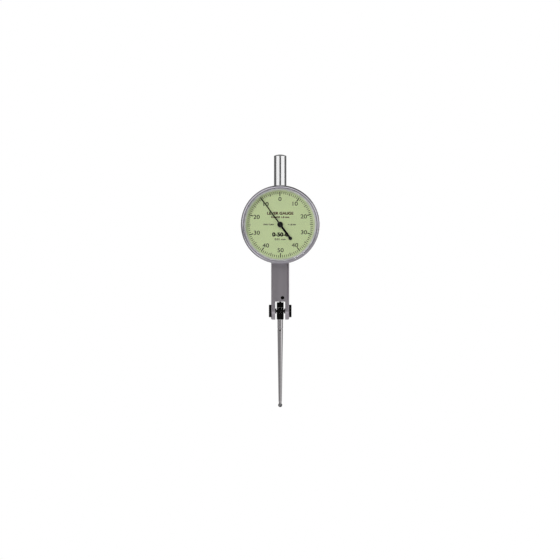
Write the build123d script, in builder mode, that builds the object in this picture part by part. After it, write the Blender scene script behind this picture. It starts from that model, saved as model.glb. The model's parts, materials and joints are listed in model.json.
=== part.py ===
from build123d import *
import os
from math import acos, asin, atan2, cos, degrees, pi, radians, sin, sqrt, tan

# Dial test indicator with a long stylus, in millimetres.
# The origin is on the stem axis where the stem leaves the body bar: +Z runs up the stem,
# +X to the right of the dial as it is read, and the dial faces -Y.

# Fits
SEAT = 0.01  # radial gap of pieces pressed, screwed or set into each other
RUN = 0.03  # radial gap of pieces that turn on each other
PLAY = 0.1  # end play of arbors, levers and washers
CLEAR = 0.3  # gap between pieces that pass each other
OVERCUT = 1.0  # how far a cut runs past the face that it opens

# Stem
STEM_DIAMETER = 6.0
STEM_LENGTH = 16.1
STEM_CROWN = 0.65
SPIGOT_DIAMETER = 4.0
SPIGOT_LENGTH = 6.0

# Body bar with its fork
BAR_WIDTH = 8.7
BAR_DEPTH = 8.4
BAR_EDGE = 0.35
DIAL_DROP = 18.0  # dial axis below the top of the bar
PIVOT_DROP = 41.9  # stylus pivot below the dial axis
SLOT_WIDTH = 4.8
SLOT_RISE = 4.55  # top of the fork slot above the stylus pivot
FORK_BLOCK = 3.0  # solid block above the fork slot
TOP_BLOCK = 9.0  # solid block round the stem spigot
BAR_WALL = 1.0
POCKET_CORNER = 1.0

# Side cover and the small screws
COVER_THICKNESS = 0.9
COVER_FOOT = 0.6  # lower edge of the cover above the fork slot
COVER_HEAD = 3.0  # upper edge of the cover below the top of the bar
SCREW_DIAMETER = 1.2
SCREW_HEAD_DIAMETER = 2.2
SCREW_HEAD_HEIGHT = 0.5
SCREW_SLOT = 0.35
SCREW_BITE = 0.9  # length of a screw in the piece that holds it
COVER_SCREW_INSET = 1.5  # screw centre from the cover's end
COVER_SCREW_SPREAD = 5.2
CASE_SCREW_SPREAD = 4.8
CASE_SCREW_RISE = 12.0  # case screws above and below the dial axis

# Dial case, bezel and what the bezel holds
CASE_FLOOR = 1.0
CASE_WALL = 1.2
CASE_DEPTH = 3.2
CASE_CHAMFER = 0.5
BEZEL_DIAMETER = 38.1
BEZEL_RIM = 1.45  # front rim, from the opening to the outside
BEZEL_WALL = 1.05  # behind the lip, from the bore to the outside
BEZEL_LIP = 0.6
BEZEL_EDGE = 1.25  # rounding of the front rim
BEZEL_INNER_EDGE = 0.12
BEZEL_SKIRT_GAP = 0.8  # rear edge of the bezel ahead of the bar
GRIP_STEP = 0.2  # grip band below the bezel's front rim
GRIP_RIM = 2.2  # smooth front rim of the bezel
GRIP_FLUTES = 90
FLUTE_DIAMETER = 0.7
FLUTE_DEPTH = 0.2
WIRE_DIAMETER = 0.6
WIRE_OPENING = 24.0  # degrees
RETAINER_HEIGHT = 0.5
RETAINER_WIDTH = 1.1
RETAINER_GROOVE = 0.15
DIAL_THICKNESS = 0.4
DIAL_HOLE = 2.2
SPACER_HEIGHT = 1.6
SPACER_WIDTH = 1.6  # from its opening to the bezel's bore
SPACER_FLARE = 0.2
CRYSTAL_FLANGE = 0.8
CRYSTAL_PROUD = 0.3
CRYSTAL_BEVEL = 1.0
CRYSTAL_BEVEL_DROP = 0.5

# Stylus pivot
PIVOT_HEAD_DIAMETER = 6.1
PIVOT_HEAD_HEIGHT = 1.15
PIVOT_HEAD_CHAMFER = 0.3
PIVOT_SHANK_DIAMETER = 2.6
PIVOT_POINT_DIAMETER = 0.8  # cone where it meets the hub's side
PIVOT_SLOT = 0.8
PIVOT_SLOT_DEPTH = 0.45
PIVOT_SLOT_ANGLE = 20.0
CUP_GAP = 0.06
ARBOR_DIAMETER = 1.6

# Stylus hub and stylus
HUB_WIDTH = 3.4
HUB_DROP = 4.1
HUB_DEPTH = 2.6
HUB_EDGE = 0.4
CHEEK_RADIUS = 1.6
WASHER_THICKNESS = 0.15
HOLDER_DIAMETER = 2.68
HOLDER_LENGTH = 4.6
HOLDER_SPIGOT = 1.5
HOLDER_SPIGOT_LENGTH = 1.6
STYLUS_REACH = 45.7  # stylus pivot to the ball's centre
STYLUS_TOP_DIAMETER = 2.66
STYLUS_END_DIAMETER = 1.6
STYLUS_SPIGOT = 1.2
STYLUS_SPIGOT_LENGTH = 3.0
STYLUS_GROOVE = 0.22
SPANNER_HOLE = 0.8  # blind hole in the stylus, for tightening it
SPANNER_DROP = 0.65  # hole below the holder
SPANNER_DEPTH = 1.0
NECK_DIAMETER = 1.4
NECK_LENGTH = 1.2
BALL_DIAMETER = 2.0

# Measuring lever
LEVER_THICKNESS = 1.0
EYE_RADIUS = 1.4
EYE_LIP = 0.1  # hub's slot floor above the lowest point of the eye
BLOCK_WIDTH = 3.4
BLOCK_DEPTH = 1.8
BLOCK_TOP = 4.25
NECK_DEPTH = 1.3
SHANK_DEPTH = 2.4
ARM_DEPTH = 3.2
ARM_TIP = 1.0  # arm above its upper drive pin
ARM_CHAMFER = 0.6
DRIVE_PIN_DIAMETER = 0.7
STOP_X = 1.1
STOP_RISE = 6.4
STOP_DIAMETER = 1.7
STOP_RECESS = 0.6
STOP_SLOT = 0.35
STOP_SLOT_DEPTH = 0.3

# Sector, crown wheel and pinions
SECTOR_RISE = 12.0  # sector pivot above the stylus pivot
SECTOR_PIN_DIAMETER = 1.0
SECTOR_BUSH_DIAMETER = 1.9
SECTOR_HUB_DIAMETER = 3.4
SECTOR_THICKNESS = 0.8
SECTOR_ARM = 1.1
SECTOR_TAIL = 0.9
SECTOR_RIM = 1.6
SECTOR_SPARE_TEETH = 1.5
TRAVEL_PER_TURN = 1.0  # ball travel for one turn of the needle
CROWN_TEETH = 30
PINION_TEETH = 10
CROWN_FACE = 0.5
CROWN_WEB = 0.6
CROWN_BOSS_DIAMETER = 2.4
CROWN_BOSS_LENGTH = 0.6
PRESSURE_ANGLE = 25.0
ADDENDUM = 0.8  # in modules
DEDENDUM = 1.15
BACKLASH = 0.06  # taken off each tooth at the pitch line
CROWN_TOOTH_SHARE = 0.36  # crown tooth thickness over its pitch
CROWN_TAPER = 20.0
PINION_LENGTH = 0.9
PINION_WALL = 0.17  # metal between a pinion's root and its arbor
JOURNAL_DIAMETER = 0.6
JOURNAL_LENGTH = 0.7
BUSH_DIAMETER = 1.8

# Needle, its arbor and the hairspring
CENTER_BUSH_DIAMETER = 3.0
CENTER_BUSH_LENGTH = 1.5
BRIDGE_THICKNESS = 0.6
BRIDGE_WIDTH = 2.5
BRIDGE_LEFT = 0.5  # bridge's left edge from the dial axis
BRIDGE_FOOT = 5.0
BRIDGE_END = 0.6
COLLET_DIAMETER = 2.0
COLLET_LENGTH = 0.5
SPRING_THICKNESS = 0.08
SPRING_HEIGHT = 0.3
SPRING_PITCH = 0.62
SPRING_HALF_TURNS = 11
SPRING_STANDOFF = 0.9  # hairspring ahead of the case floor
STUD_DIAMETER = 0.9
STUD_BITE = 0.6
NEEDLE_ANGLE = 126.0  # from +X, as the dial is read
NEEDLE_TIP_GAP = 0.2  # needle's tip from the spacer
NEEDLE_ROOT = 0.62
NEEDLE_TIP = 0.36
NEEDLE_TAIL = 8.3
NEEDLE_TAIL_WIDTH = 1.0
NEEDLE_TAIL_DISC = 1.7
NEEDLE_HUB = 2.8
NEEDLE_THICKNESS = 0.2
NEEDLE_LIFT = 0.6  # needle ahead of the dial
BOSS_TUBE_DIAMETER = 1.6
BOSS_COLLAR_DIAMETER = 2.4
BOSS_DOME = 0.45
BOSS_GAP = 0.15  # boss ahead of the dial

# Heights
dial_z = -DIAL_DROP
pivot_z = dial_z - PIVOT_DROP
slot_top = pivot_z + SLOT_RISE
pocket_bottom = slot_top + FORK_BLOCK
pocket_top = -TOP_BLOCK
cover_bottom = slot_top + COVER_FOOT
cover_top = -COVER_HEAD
sector_z = pivot_z + SECTOR_RISE
ball_z = pivot_z - STYLUS_REACH

# Depths, from the back of the bar to the crystal
bar_back = BAR_DEPTH / 2
bar_front = -BAR_DEPTH / 2
pocket_half = BAR_DEPTH / 2 - BAR_WALL
floor_front = bar_front - CASE_FLOOR
case_front = bar_front - CASE_DEPTH
retainer_back = case_front - CLEAR
dial_back = retainer_back - RETAINER_HEIGHT
dial_front = dial_back - DIAL_THICKNESS
crystal_back = dial_front - SPACER_HEIGHT
lip_back = crystal_back - CRYSTAL_FLANGE
bezel_front = lip_back - BEZEL_LIP
crystal_front = bezel_front - CRYSTAL_PROUD
bezel_back = bar_front - BEZEL_SKIRT_GAP
wire_y = (bezel_back + case_front) / 2
needle_back = dial_front - NEEDLE_LIFT
needle_front = needle_back - NEEDLE_THICKNESS
boss_front = needle_front - BOSS_DOME

# Widths across the bar
bar_half = BAR_WIDTH / 2
pocket_left = -bar_half + BAR_WALL
cover_inside = bar_half - COVER_THICKNESS
sector_left = LEVER_THICKNESS / 2 + PLAY
sector_right = sector_left + SECTOR_THICKNESS
cheek_inside = LEVER_THICKNESS / 2 + RUN
washer_pocket = LEVER_THICKNESS / 2 + SEAT + WASHER_THICKNESS + RUN

# Gear train
crown_outside = pocket_half - CLEAR
crown_pitch = crown_outside - CROWN_FACE / 2
module = 2 * crown_pitch / CROWN_TEETH
pinion_pitch = module * PINION_TEETH / 2
pinion_tip = pinion_pitch + ADDENDUM * module
pinion_root = pinion_pitch - DEDENDUM * module
arbor_radius = pinion_root - PINION_WALL - SEAT
sector_pitch = PIVOT_DROP - SECTOR_RISE - pinion_pitch
crown_ratio = CROWN_TEETH / PINION_TEETH
sector_ratio = sector_pitch / pinion_pitch
needle_gain = 2 * pi * STYLUS_REACH / TRAVEL_PER_TURN
lever_gain = needle_gain / (crown_ratio * sector_ratio)
upper_pin_z = sector_z + SECTOR_RISE / (lever_gain - 1)
lower_pin_z = sector_z - SECTOR_RISE / (lever_gain + 1)
drive_pin_y = SECTOR_ARM / 2 + RUN + DRIVE_PIN_DIAMETER / 2
tooth_step = degrees(pi * module / sector_pitch)
sector_swing = 360 / (crown_ratio * sector_ratio)
crown_root_x = -pinion_pitch - DEDENDUM * module
crown_tooth_height = (ADDENDUM + DEDENDUM) * module
pinion_back = -crown_outside + CROWN_FACE + PLAY
bridge_front = pinion_back + PLAY
bridge_back = bridge_front + BRIDGE_THICKNESS

# Radii of the bezel stack
bezel_radius = BEZEL_DIAMETER / 2
bezel_opening = bezel_radius - BEZEL_RIM
bezel_bore = bezel_radius - BEZEL_WALL
spacer_opening = bezel_bore - SPACER_WIDTH
needle_length = spacer_opening - NEEDLE_TIP_GAP
case_radius = bezel_bore - RUN
held_radius = bezel_bore - SEAT
grip_radius = bezel_radius - GRIP_STEP

# Screw places and seats
sink_angle = 2 * degrees(atan2(SCREW_HEAD_DIAMETER - SCREW_DIAMETER, 2 * SCREW_HEAD_HEIGHT))
cover_middle = (cover_top + cover_bottom) / 2
cover_height = cover_top - cover_bottom
cover_screw_height = cover_height - 2 * COVER_SCREW_INSET
bridge_foot = pinion_tip + CLEAR + PLAY
bridge_top = bridge_foot + BRIDGE_FOOT
bridge_middle = BRIDGE_WIDTH / 2 - BRIDGE_LEFT
bridge_screw_places = [
    (bridge_middle, bridge_foot + SCREW_HEAD_DIAMETER / 2),
    (bridge_middle, bridge_top - SCREW_HEAD_DIAMETER / 2),
]

# Stylus pivot, lever and stylus
cone_slope = (PIVOT_SHANK_DIAMETER - PIVOT_POINT_DIAMETER) / (SLOT_WIDTH - HUB_WIDTH)
cone_tip = HUB_WIDTH / 2 - PIVOT_POINT_DIAMETER / 2 / cone_slope
cup_radius = PIVOT_POINT_DIAMETER / 2 + CUP_GAP * cone_slope
lever_swing = sector_swing / lever_gain
lever_hole = SECTOR_PIN_DIAMETER / 2 + SECTOR_RISE * tan(radians(lever_swing)) + CLEAR
block_bottom = CHEEK_RADIUS + RUN
arm_bottom = SLOT_RISE + FORK_BLOCK
arm_top = upper_pin_z - pivot_z + ARM_TIP
stop_gap = STOP_RISE * tan(radians(lever_swing)) + PLAY
hub_end = pivot_z - HUB_DROP
holder_end = hub_end - HOLDER_LENGTH
ball_seat = sqrt((BALL_DIAMETER / 2) ** 2 - (NECK_DIAMETER / 2) ** 2)
seat_angle = degrees(asin(NECK_DIAMETER / BALL_DIAMETER))
neck_top = ball_z + ball_seat + NECK_LENGTH

# Sector rim and crown teeth
sector_root = sector_pitch - DEDENDUM * module
sector_teeth = int(sector_swing / tooth_step + 2 * SECTOR_SPARE_TEETH) + 1
first_tooth = 90 + SECTOR_SPARE_TEETH * tooth_step
rim_start = first_tooth + tooth_step / 2
rim_sweep = -sector_teeth * tooth_step
sector_arm_length = sector_root - SECTOR_RIM / 2 - (lower_pin_z - sector_z - SECTOR_TAIL)
crown_tooth_root = CROWN_TOOTH_SHARE * pi * module + 2 * DEDENDUM * module * tan(radians(CROWN_TAPER))

# Hairspring, boss and bezel details
spring_back = floor_front - SPRING_STANDOFF
spring_start = COLLET_DIAMETER / 2 + SPRING_THICKNESS / 2 + SEAT
spring_end = spring_start + (SPRING_HALF_TURNS - 1) * SPRING_PITCH / 2
stud_x = -spring_end - SPRING_THICKNESS / 2 - SEAT - STUD_DIAMETER / 2
boss_back = dial_front - BOSS_GAP
boss_sphere = ((BOSS_TUBE_DIAMETER / 2) ** 2 + BOSS_DOME**2) / (2 * BOSS_DOME)
boss_angle = degrees(asin(BOSS_TUBE_DIAMETER / 2 / boss_sphere))
rim_back = bezel_front + GRIP_RIM
crystal_radius = bezel_opening - SEAT

dial_axis = Axis((0, 0, dial_z), (0, 1, 0))
pivot_axis = Axis((0, 0, pivot_z), (1, 0, 0))
crown_axis = Axis((0, 0, dial_z), (1, 0, 0))
dial_level = Plane.XY.offset(dial_z)
pivot_level = Plane.XY.offset(pivot_z)


def front(y, z=dial_z):
    """Plane facing the reader of the dial: X to the right, Z up."""
    return Plane(origin=(0, y, z), x_dir=(1, 0, 0), z_dir=(0, -1, 0))


def side(x, z):
    """Plane facing right: Y across, Z up."""
    return Plane(origin=(x, 0, z), x_dir=(0, 1, 0), z_dir=(1, 0, 0))


def involute(angle):
    """Involute function of an angle in radians."""
    return tan(angle) - angle


def gear_tooth(pitch_radius):
    """One involute tooth pointing along +X from its gear's centre."""
    base = pitch_radius * cos(radians(PRESSURE_ANGLE))
    root = pitch_radius - DEDENDUM * module
    tip = pitch_radius + ADDENDUM * module
    start = max(base, root)
    middle = (start + tip) / 2
    foot = root - module / 4
    pitch_half = (pi * module - 2 * BACKLASH) / (4 * pitch_radius)

    def flank(radius, hand):
        pressure = acos(base / max(radius, base))
        half = pitch_half + involute(radians(PRESSURE_ANGLE)) - involute(pressure)
        return (radius * cos(half), hand * radius * sin(half))

    with BuildSketch() as outline:
        with BuildLine():
            Line(flank(foot, -1), flank(start, -1))
            ThreePointArc(flank(start, -1), flank(middle, -1), flank(tip, -1))
            Line(flank(tip, -1), flank(tip, 1))
            ThreePointArc(flank(tip, 1), flank(middle, 1), flank(start, 1))
            Line(flank(start, 1), flank(foot, 1))
            Line(flank(foot, 1), flank(foot, -1))
        make_face()
    return outline.sketch


def slotted_screw(bite, sunk):
    """Small screw standing on the local XY plane, its head up; a sunk head lies below the plane."""
    head_base = -SCREW_HEAD_HEIGHT if sunk else 0
    head_top = head_base + SCREW_HEAD_HEIGHT
    flat_seat = [] if sunk else [(SCREW_HEAD_DIAMETER / 2, head_base)]
    with BuildPart() as screw:
        with BuildSketch(Plane.XZ):
            with BuildLine():
                Polyline(
                    (0, -bite),
                    (SCREW_DIAMETER / 2, -bite),
                    (SCREW_DIAMETER / 2, head_base),
                    *flat_seat,
                    (SCREW_HEAD_DIAMETER / 2, head_top),
                    (0, head_top),
                    close=True,
                )
            make_face()
        revolve(axis=Axis.Z)
        with BuildSketch(Plane.XY.offset(head_top)):
            Rectangle(SCREW_HEAD_DIAMETER + OVERCUT, SCREW_SLOT)
        extrude(amount=-SCREW_HEAD_HEIGHT / 2, mode=Mode.SUBTRACT)
    return screw.part


pinion_tooth = gear_tooth(pinion_pitch)
sector_tooth = gear_tooth(sector_pitch)
cover_screw = slotted_screw(COVER_THICKNESS + SCREW_BITE, sunk=True)
case_screw = slotted_screw(CASE_FLOOR + SCREW_BITE, sunk=False)
bridge_screw = slotted_screw(BAR_WALL + SCREW_BITE, sunk=True)

# Stem with a crowned end and a spigot that is screwed into the bar
crown_sphere = ((STEM_DIAMETER / 2) ** 2 + STEM_CROWN**2) / (2 * STEM_CROWN)
crown_angle = degrees(asin(STEM_DIAMETER / 2 / crown_sphere))
with BuildPart() as stem:
    with BuildSketch(Plane.XZ):
        with BuildLine():
            Polyline(
                (0, STEM_LENGTH),
                (0, -SPIGOT_LENGTH),
                (SPIGOT_DIAMETER / 2, -SPIGOT_LENGTH),
                (SPIGOT_DIAMETER / 2, 0),
                (STEM_DIAMETER / 2, 0),
                (STEM_DIAMETER / 2, STEM_LENGTH - STEM_CROWN),
            )
            CenterArc((0, STEM_LENGTH - crown_sphere), crown_sphere, 90 - crown_angle, crown_angle)
        make_face()
    revolve(axis=Axis.Z)

# Body bar: a square bar with a round-ended fork, milled out from its right side
with BuildPart() as body_frame:
    with BuildSketch(side(0, pivot_z)):
        with Locations((0, -pivot_z / 2)):
            Rectangle(BAR_DEPTH, -pivot_z)
        Circle(BAR_DEPTH / 2)
    extrude(amount=bar_half, both=True)
    chamfer(body_frame.edges().filter_by(Axis.Z), BAR_EDGE)
    with BuildSketch(front(bar_back, pivot_z)):
        with Locations((0, (SLOT_RISE - BAR_DEPTH / 2 - OVERCUT) / 2)):
            Rectangle(SLOT_WIDTH, SLOT_RISE + BAR_DEPTH / 2 + OVERCUT)
    extrude(amount=BAR_DEPTH, mode=Mode.SUBTRACT)
    with BuildSketch(side(cover_inside, cover_middle)):
        Rectangle(BAR_DEPTH, cover_height)
    extrude(amount=COVER_THICKNESS, mode=Mode.SUBTRACT)
    with BuildSketch(side(cover_inside, (pocket_top + pocket_bottom) / 2)):
        RectangleRounded(2 * pocket_half, pocket_top - pocket_bottom, POCKET_CORNER)
    extrude(amount=pocket_left - cover_inside, mode=Mode.SUBTRACT)
    with BuildSketch(Plane.XY.offset(slot_top)):
        Rectangle(LEVER_THICKNESS + 2 * CLEAR, ARM_DEPTH + 2 * CLEAR)
    extrude(amount=FORK_BLOCK, mode=Mode.SUBTRACT)
    with BuildSketch(Plane.XY):
        Circle(SPIGOT_DIAMETER / 2 + SEAT)
    extrude(amount=-SPIGOT_LENGTH - CLEAR, mode=Mode.SUBTRACT)
    with BuildSketch(side(-bar_half, pivot_z)):
        Circle(PIVOT_SHANK_DIAMETER / 2 + SEAT)
    extrude(amount=BAR_WIDTH, mode=Mode.SUBTRACT)
    with BuildSketch(side(-bar_half, sector_z)):
        Circle(SECTOR_PIN_DIAMETER / 2 + SEAT)
    extrude(amount=BAR_WALL, mode=Mode.SUBTRACT)
    with BuildSketch(side(-bar_half, dial_z)):
        Circle(BUSH_DIAMETER / 2 + SEAT)
    extrude(amount=BAR_WALL, mode=Mode.SUBTRACT)
    with BuildSketch(front(bar_front)):
        Circle(pinion_tip + CLEAR)
        with GridLocations(CASE_SCREW_SPREAD, 2 * CASE_SCREW_RISE, 2, 2):
            Circle(SCREW_DIAMETER / 2 + SEAT)
    extrude(amount=-BAR_WALL, mode=Mode.SUBTRACT)
    with Locations(front(bar_front)):
        with Locations(*bridge_screw_places):
            CounterSinkHole(SCREW_DIAMETER / 2 + SEAT, SCREW_HEAD_DIAMETER / 2 + SEAT, BAR_WALL, sink_angle)
    with BuildSketch(front(bar_front, pivot_z + STOP_RISE)):
        with Locations((STOP_X, 0)):
            Circle(STOP_DIAMETER / 2 + SEAT)
    extrude(amount=bar_front + SHANK_DEPTH / 2, mode=Mode.SUBTRACT)
    with BuildSketch(side(cover_inside, cover_middle)):
        with GridLocations(COVER_SCREW_SPREAD, cover_screw_height, 2, 2):
            Circle(SCREW_DIAMETER / 2 + SEAT)
    extrude(amount=-SCREW_BITE, mode=Mode.SUBTRACT)

# Side cover that closes the bar's pocket, with its countersunk screws
with BuildPart() as side_cover:
    with BuildSketch(side(cover_inside, cover_middle)):
        Rectangle(BAR_DEPTH, cover_height - 2 * SEAT)
    extrude(amount=COVER_THICKNESS)
    chamfer(side_cover.faces().sort_by(Axis.X)[-1].edges().filter_by(Axis.Z), BAR_EDGE)
    with BuildSketch(side(cover_inside, dial_z)):
        Circle(BUSH_DIAMETER / 2 + SEAT)
    extrude(amount=COVER_THICKNESS, mode=Mode.SUBTRACT)
    with BuildSketch(side(cover_inside, sector_z)):
        Circle(SECTOR_PIN_DIAMETER / 2 + SEAT)
    extrude(amount=COVER_THICKNESS, mode=Mode.SUBTRACT)
    with Locations(side(bar_half, cover_middle)):
        with GridLocations(COVER_SCREW_SPREAD, cover_screw_height, 2, 2):
            CounterSinkHole(
                SCREW_DIAMETER / 2 + SEAT, SCREW_HEAD_DIAMETER / 2 + SEAT, COVER_THICKNESS, sink_angle
            )

with BuildPart() as side_cover_screws:
    with Locations(side(bar_half, cover_middle)):
        with GridLocations(COVER_SCREW_SPREAD, cover_screw_height, 2, 2):
            add(cover_screw)

# Dial case: a turned tray on the bar's front that the bezel turns on
with BuildPart() as dial_case:
    with BuildSketch(dial_level):
        with BuildLine():
            Polyline(
                (CENTER_BUSH_DIAMETER / 2 + SEAT, bar_front),
                (case_radius - CASE_CHAMFER, bar_front),
                (case_radius, bar_front - CASE_CHAMFER),
                (case_radius, case_front),
                (case_radius - CASE_WALL, case_front),
                (case_radius - CASE_WALL, floor_front),
                (CENTER_BUSH_DIAMETER / 2 + SEAT, floor_front),
                close=True,
            )
        make_face()
        with Locations((case_radius, wire_y)):
            Rectangle(WIRE_DIAMETER + 2 * PLAY, WIRE_DIAMETER + 2 * PLAY, mode=Mode.SUBTRACT)
    revolve(axis=dial_axis)
    with BuildSketch(front(floor_front)):
        with GridLocations(CASE_SCREW_SPREAD, 2 * CASE_SCREW_RISE, 2, 2):
            Circle(SCREW_DIAMETER / 2 + SEAT)
    extrude(amount=-CASE_FLOOR, mode=Mode.SUBTRACT)
    with BuildSketch(front(floor_front)):
        with Locations((stud_x, 0)):
            Circle(STUD_DIAMETER / 2 + SEAT)
    extrude(amount=-STUD_BITE, mode=Mode.SUBTRACT)

with BuildPart() as case_screws:
    with Locations(front(floor_front)):
        with GridLocations(CASE_SCREW_SPREAD, 2 * CASE_SCREW_RISE, 2, 2):
            add(case_screw)

# Bezel: a turned ring with a smooth front rim and a fluted grip band behind it
with BuildPart() as bezel:
    with BuildSketch(dial_level):
        with BuildLine():
            Polyline(
                (bezel_bore, bezel_back),
                (grip_radius, bezel_back),
                (grip_radius, rim_back),
                (bezel_radius, rim_back),
                (bezel_radius, bezel_front),
                (bezel_opening, bezel_front),
                (bezel_opening, lip_back),
                (bezel_bore, lip_back),
                close=True,
            )
        make_face()
        with Locations((bezel_bore, wire_y)):
            Rectangle(WIRE_DIAMETER + 2 * SEAT, WIRE_DIAMETER + 2 * SEAT, mode=Mode.SUBTRACT)
        with Locations((bezel_bore, retainer_back - RETAINER_HEIGHT / 2)):
            Rectangle(2 * RETAINER_GROOVE, RETAINER_HEIGHT, mode=Mode.SUBTRACT)
    revolve(axis=dial_axis)
    front_edges = bezel.faces().sort_by(Axis.Y)[0].edges().sort_by(SortBy.RADIUS)
    fillet(front_edges[-1], BEZEL_EDGE)
    chamfer(front_edges[0], BEZEL_INNER_EDGE)
    with BuildSketch(front(bezel_back)):
        with PolarLocations(grip_radius + FLUTE_DIAMETER / 2 - FLUTE_DEPTH, GRIP_FLUTES):
            Circle(FLUTE_DIAMETER / 2)
    extrude(amount=bezel_back - rim_back, mode=Mode.SUBTRACT)

# Open wire ring that keeps the bezel on the case
with BuildPart() as bezel_wire:
    with BuildSketch(dial_level):
        with Locations((bezel_bore, wire_y)):
            Circle(WIRE_DIAMETER / 2)
    revolve(axis=dial_axis, revolution_arc=360 - WIRE_OPENING)

# Dial stack in the bezel: open ring, dial, spacer and crystal
with BuildPart() as dial_retainer:
    with BuildSketch(dial_level):
        with Locations((bezel_bore + RETAINER_GROOVE - SEAT, retainer_back)):
            Rectangle(RETAINER_WIDTH, RETAINER_HEIGHT, align=(Align.MAX, Align.MAX))
    revolve(axis=dial_axis, revolution_arc=360 - WIRE_OPENING)

with BuildPart() as dial_plate:
    with BuildSketch(front(dial_back)):
        Circle(held_radius)
        Circle(DIAL_HOLE / 2, mode=Mode.SUBTRACT)
    extrude(amount=DIAL_THICKNESS)

with BuildPart() as dial_spacer:
    with BuildSketch(dial_level):
        with BuildLine():
            Polyline(
                (spacer_opening, dial_front),
                (held_radius, dial_front),
                (held_radius, crystal_back),
                (spacer_opening + SPACER_FLARE, crystal_back),
                close=True,
            )
        make_face()
    revolve(axis=dial_axis)

with BuildPart() as crystal:
    with BuildSketch(dial_level):
        with BuildLine():
            Polyline(
                (0, crystal_back),
                (held_radius, crystal_back),
                (held_radius, lip_back),
                (crystal_radius, lip_back),
                (crystal_radius, crystal_front + CRYSTAL_BEVEL_DROP),
                (crystal_radius - CRYSTAL_BEVEL, crystal_front),
                (0, crystal_front),
                close=True,
            )
        make_face()
    revolve(axis=dial_axis)


def pivot_screw(hand):
    """Slotted screw with a cone point; hand is 1 for the right ear and -1 for the left."""
    outside = bar_half + PIVOT_HEAD_HEIGHT
    shank = PIVOT_SHANK_DIAMETER / 2
    head = PIVOT_HEAD_DIAMETER / 2
    with BuildPart() as screw:
        with BuildSketch(pivot_level):
            with BuildLine():
                Polyline(
                    (hand * cone_tip, 0),
                    (hand * SLOT_WIDTH / 2, shank),
                    (hand * bar_half, shank),
                    (hand * bar_half, head),
                    (hand * (outside - PIVOT_HEAD_CHAMFER), head),
                    (hand * outside, head - PIVOT_HEAD_CHAMFER),
                    (hand * outside, 0),
                    close=True,
                )
            make_face()
        revolve(axis=pivot_axis)
        with BuildSketch(side(hand * outside, pivot_z)):
            Rectangle(PIVOT_HEAD_DIAMETER + OVERCUT, PIVOT_SLOT, rotation=hand * PIVOT_SLOT_ANGLE)
        extrude(amount=-hand * PIVOT_SLOT_DEPTH, mode=Mode.SUBTRACT)
    return screw


pivot_screw_left = pivot_screw(-1)
pivot_screw_right = pivot_screw(1)

# Lever arbor with cone cups in its ends
with BuildPart() as pivot_arbor:
    with BuildSketch(pivot_level):
        with BuildLine():
            Polyline(
                (-HUB_WIDTH / 2, cup_radius),
                (-HUB_WIDTH / 2, ARBOR_DIAMETER / 2),
                (HUB_WIDTH / 2, ARBOR_DIAMETER / 2),
                (HUB_WIDTH / 2, cup_radius),
                (cone_tip - CUP_GAP, 0),
                (CUP_GAP - cone_tip, 0),
                close=True,
            )
        make_face()
    revolve(axis=pivot_axis)

# Measuring lever: eye, block in the fork and an arm that straddles the sector pin
with BuildPart() as measuring_lever:
    with BuildSketch(side(0, pivot_z)):
        Circle(EYE_RADIUS)
        Rectangle(NECK_DEPTH, BLOCK_TOP, align=(Align.CENTER, Align.MIN))
        with Locations((0, block_bottom)):
            Rectangle(SHANK_DEPTH, arm_bottom - block_bottom, align=(Align.CENTER, Align.MIN))
        with Locations((0, arm_bottom)):
            Rectangle(ARM_DEPTH, arm_top - arm_bottom, align=(Align.CENTER, Align.MIN))
    extrude(amount=LEVER_THICKNESS / 2, both=True)
    with BuildSketch(side(0, pivot_z)):
        with Locations((0, block_bottom)):
            Rectangle(BLOCK_DEPTH, BLOCK_TOP - block_bottom, align=(Align.CENTER, Align.MIN))
    extrude(amount=BLOCK_WIDTH / 2, both=True)
    chamfer(measuring_lever.faces().sort_by(Axis.Z)[-1].edges().filter_by(Axis.X), ARM_CHAMFER)
    with BuildSketch(side(0, pivot_z)):
        Circle(ARBOR_DIAMETER / 2 + SEAT)
        with Locations((0, SECTOR_RISE)):
            Circle(lever_hole)
        with Locations((drive_pin_y, upper_pin_z - pivot_z), (-drive_pin_y, lower_pin_z - pivot_z)):
            Circle(DRIVE_PIN_DIAMETER / 2 + SEAT)
    extrude(amount=LEVER_THICKNESS, both=True, mode=Mode.SUBTRACT)

# The pins press on opposite sides of the sector lever, above and below its pivot
with BuildPart() as drive_pins:
    with BuildSketch(side(-LEVER_THICKNESS / 2, pivot_z)):
        with Locations((drive_pin_y, upper_pin_z - pivot_z), (-drive_pin_y, lower_pin_z - pivot_z)):
            Circle(DRIVE_PIN_DIAMETER / 2)
    extrude(amount=sector_right + LEVER_THICKNESS / 2)

# Friction washers of the stylus clutch
with BuildPart() as clutch_washers:
    for hand in (1, -1):
        with BuildSketch(side(hand * (LEVER_THICKNESS / 2 + SEAT), pivot_z)):
            Circle(EYE_RADIUS)
            Circle(ARBOR_DIAMETER / 2 + RUN, mode=Mode.SUBTRACT)
        extrude(amount=hand * WASHER_THICKNESS)

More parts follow.
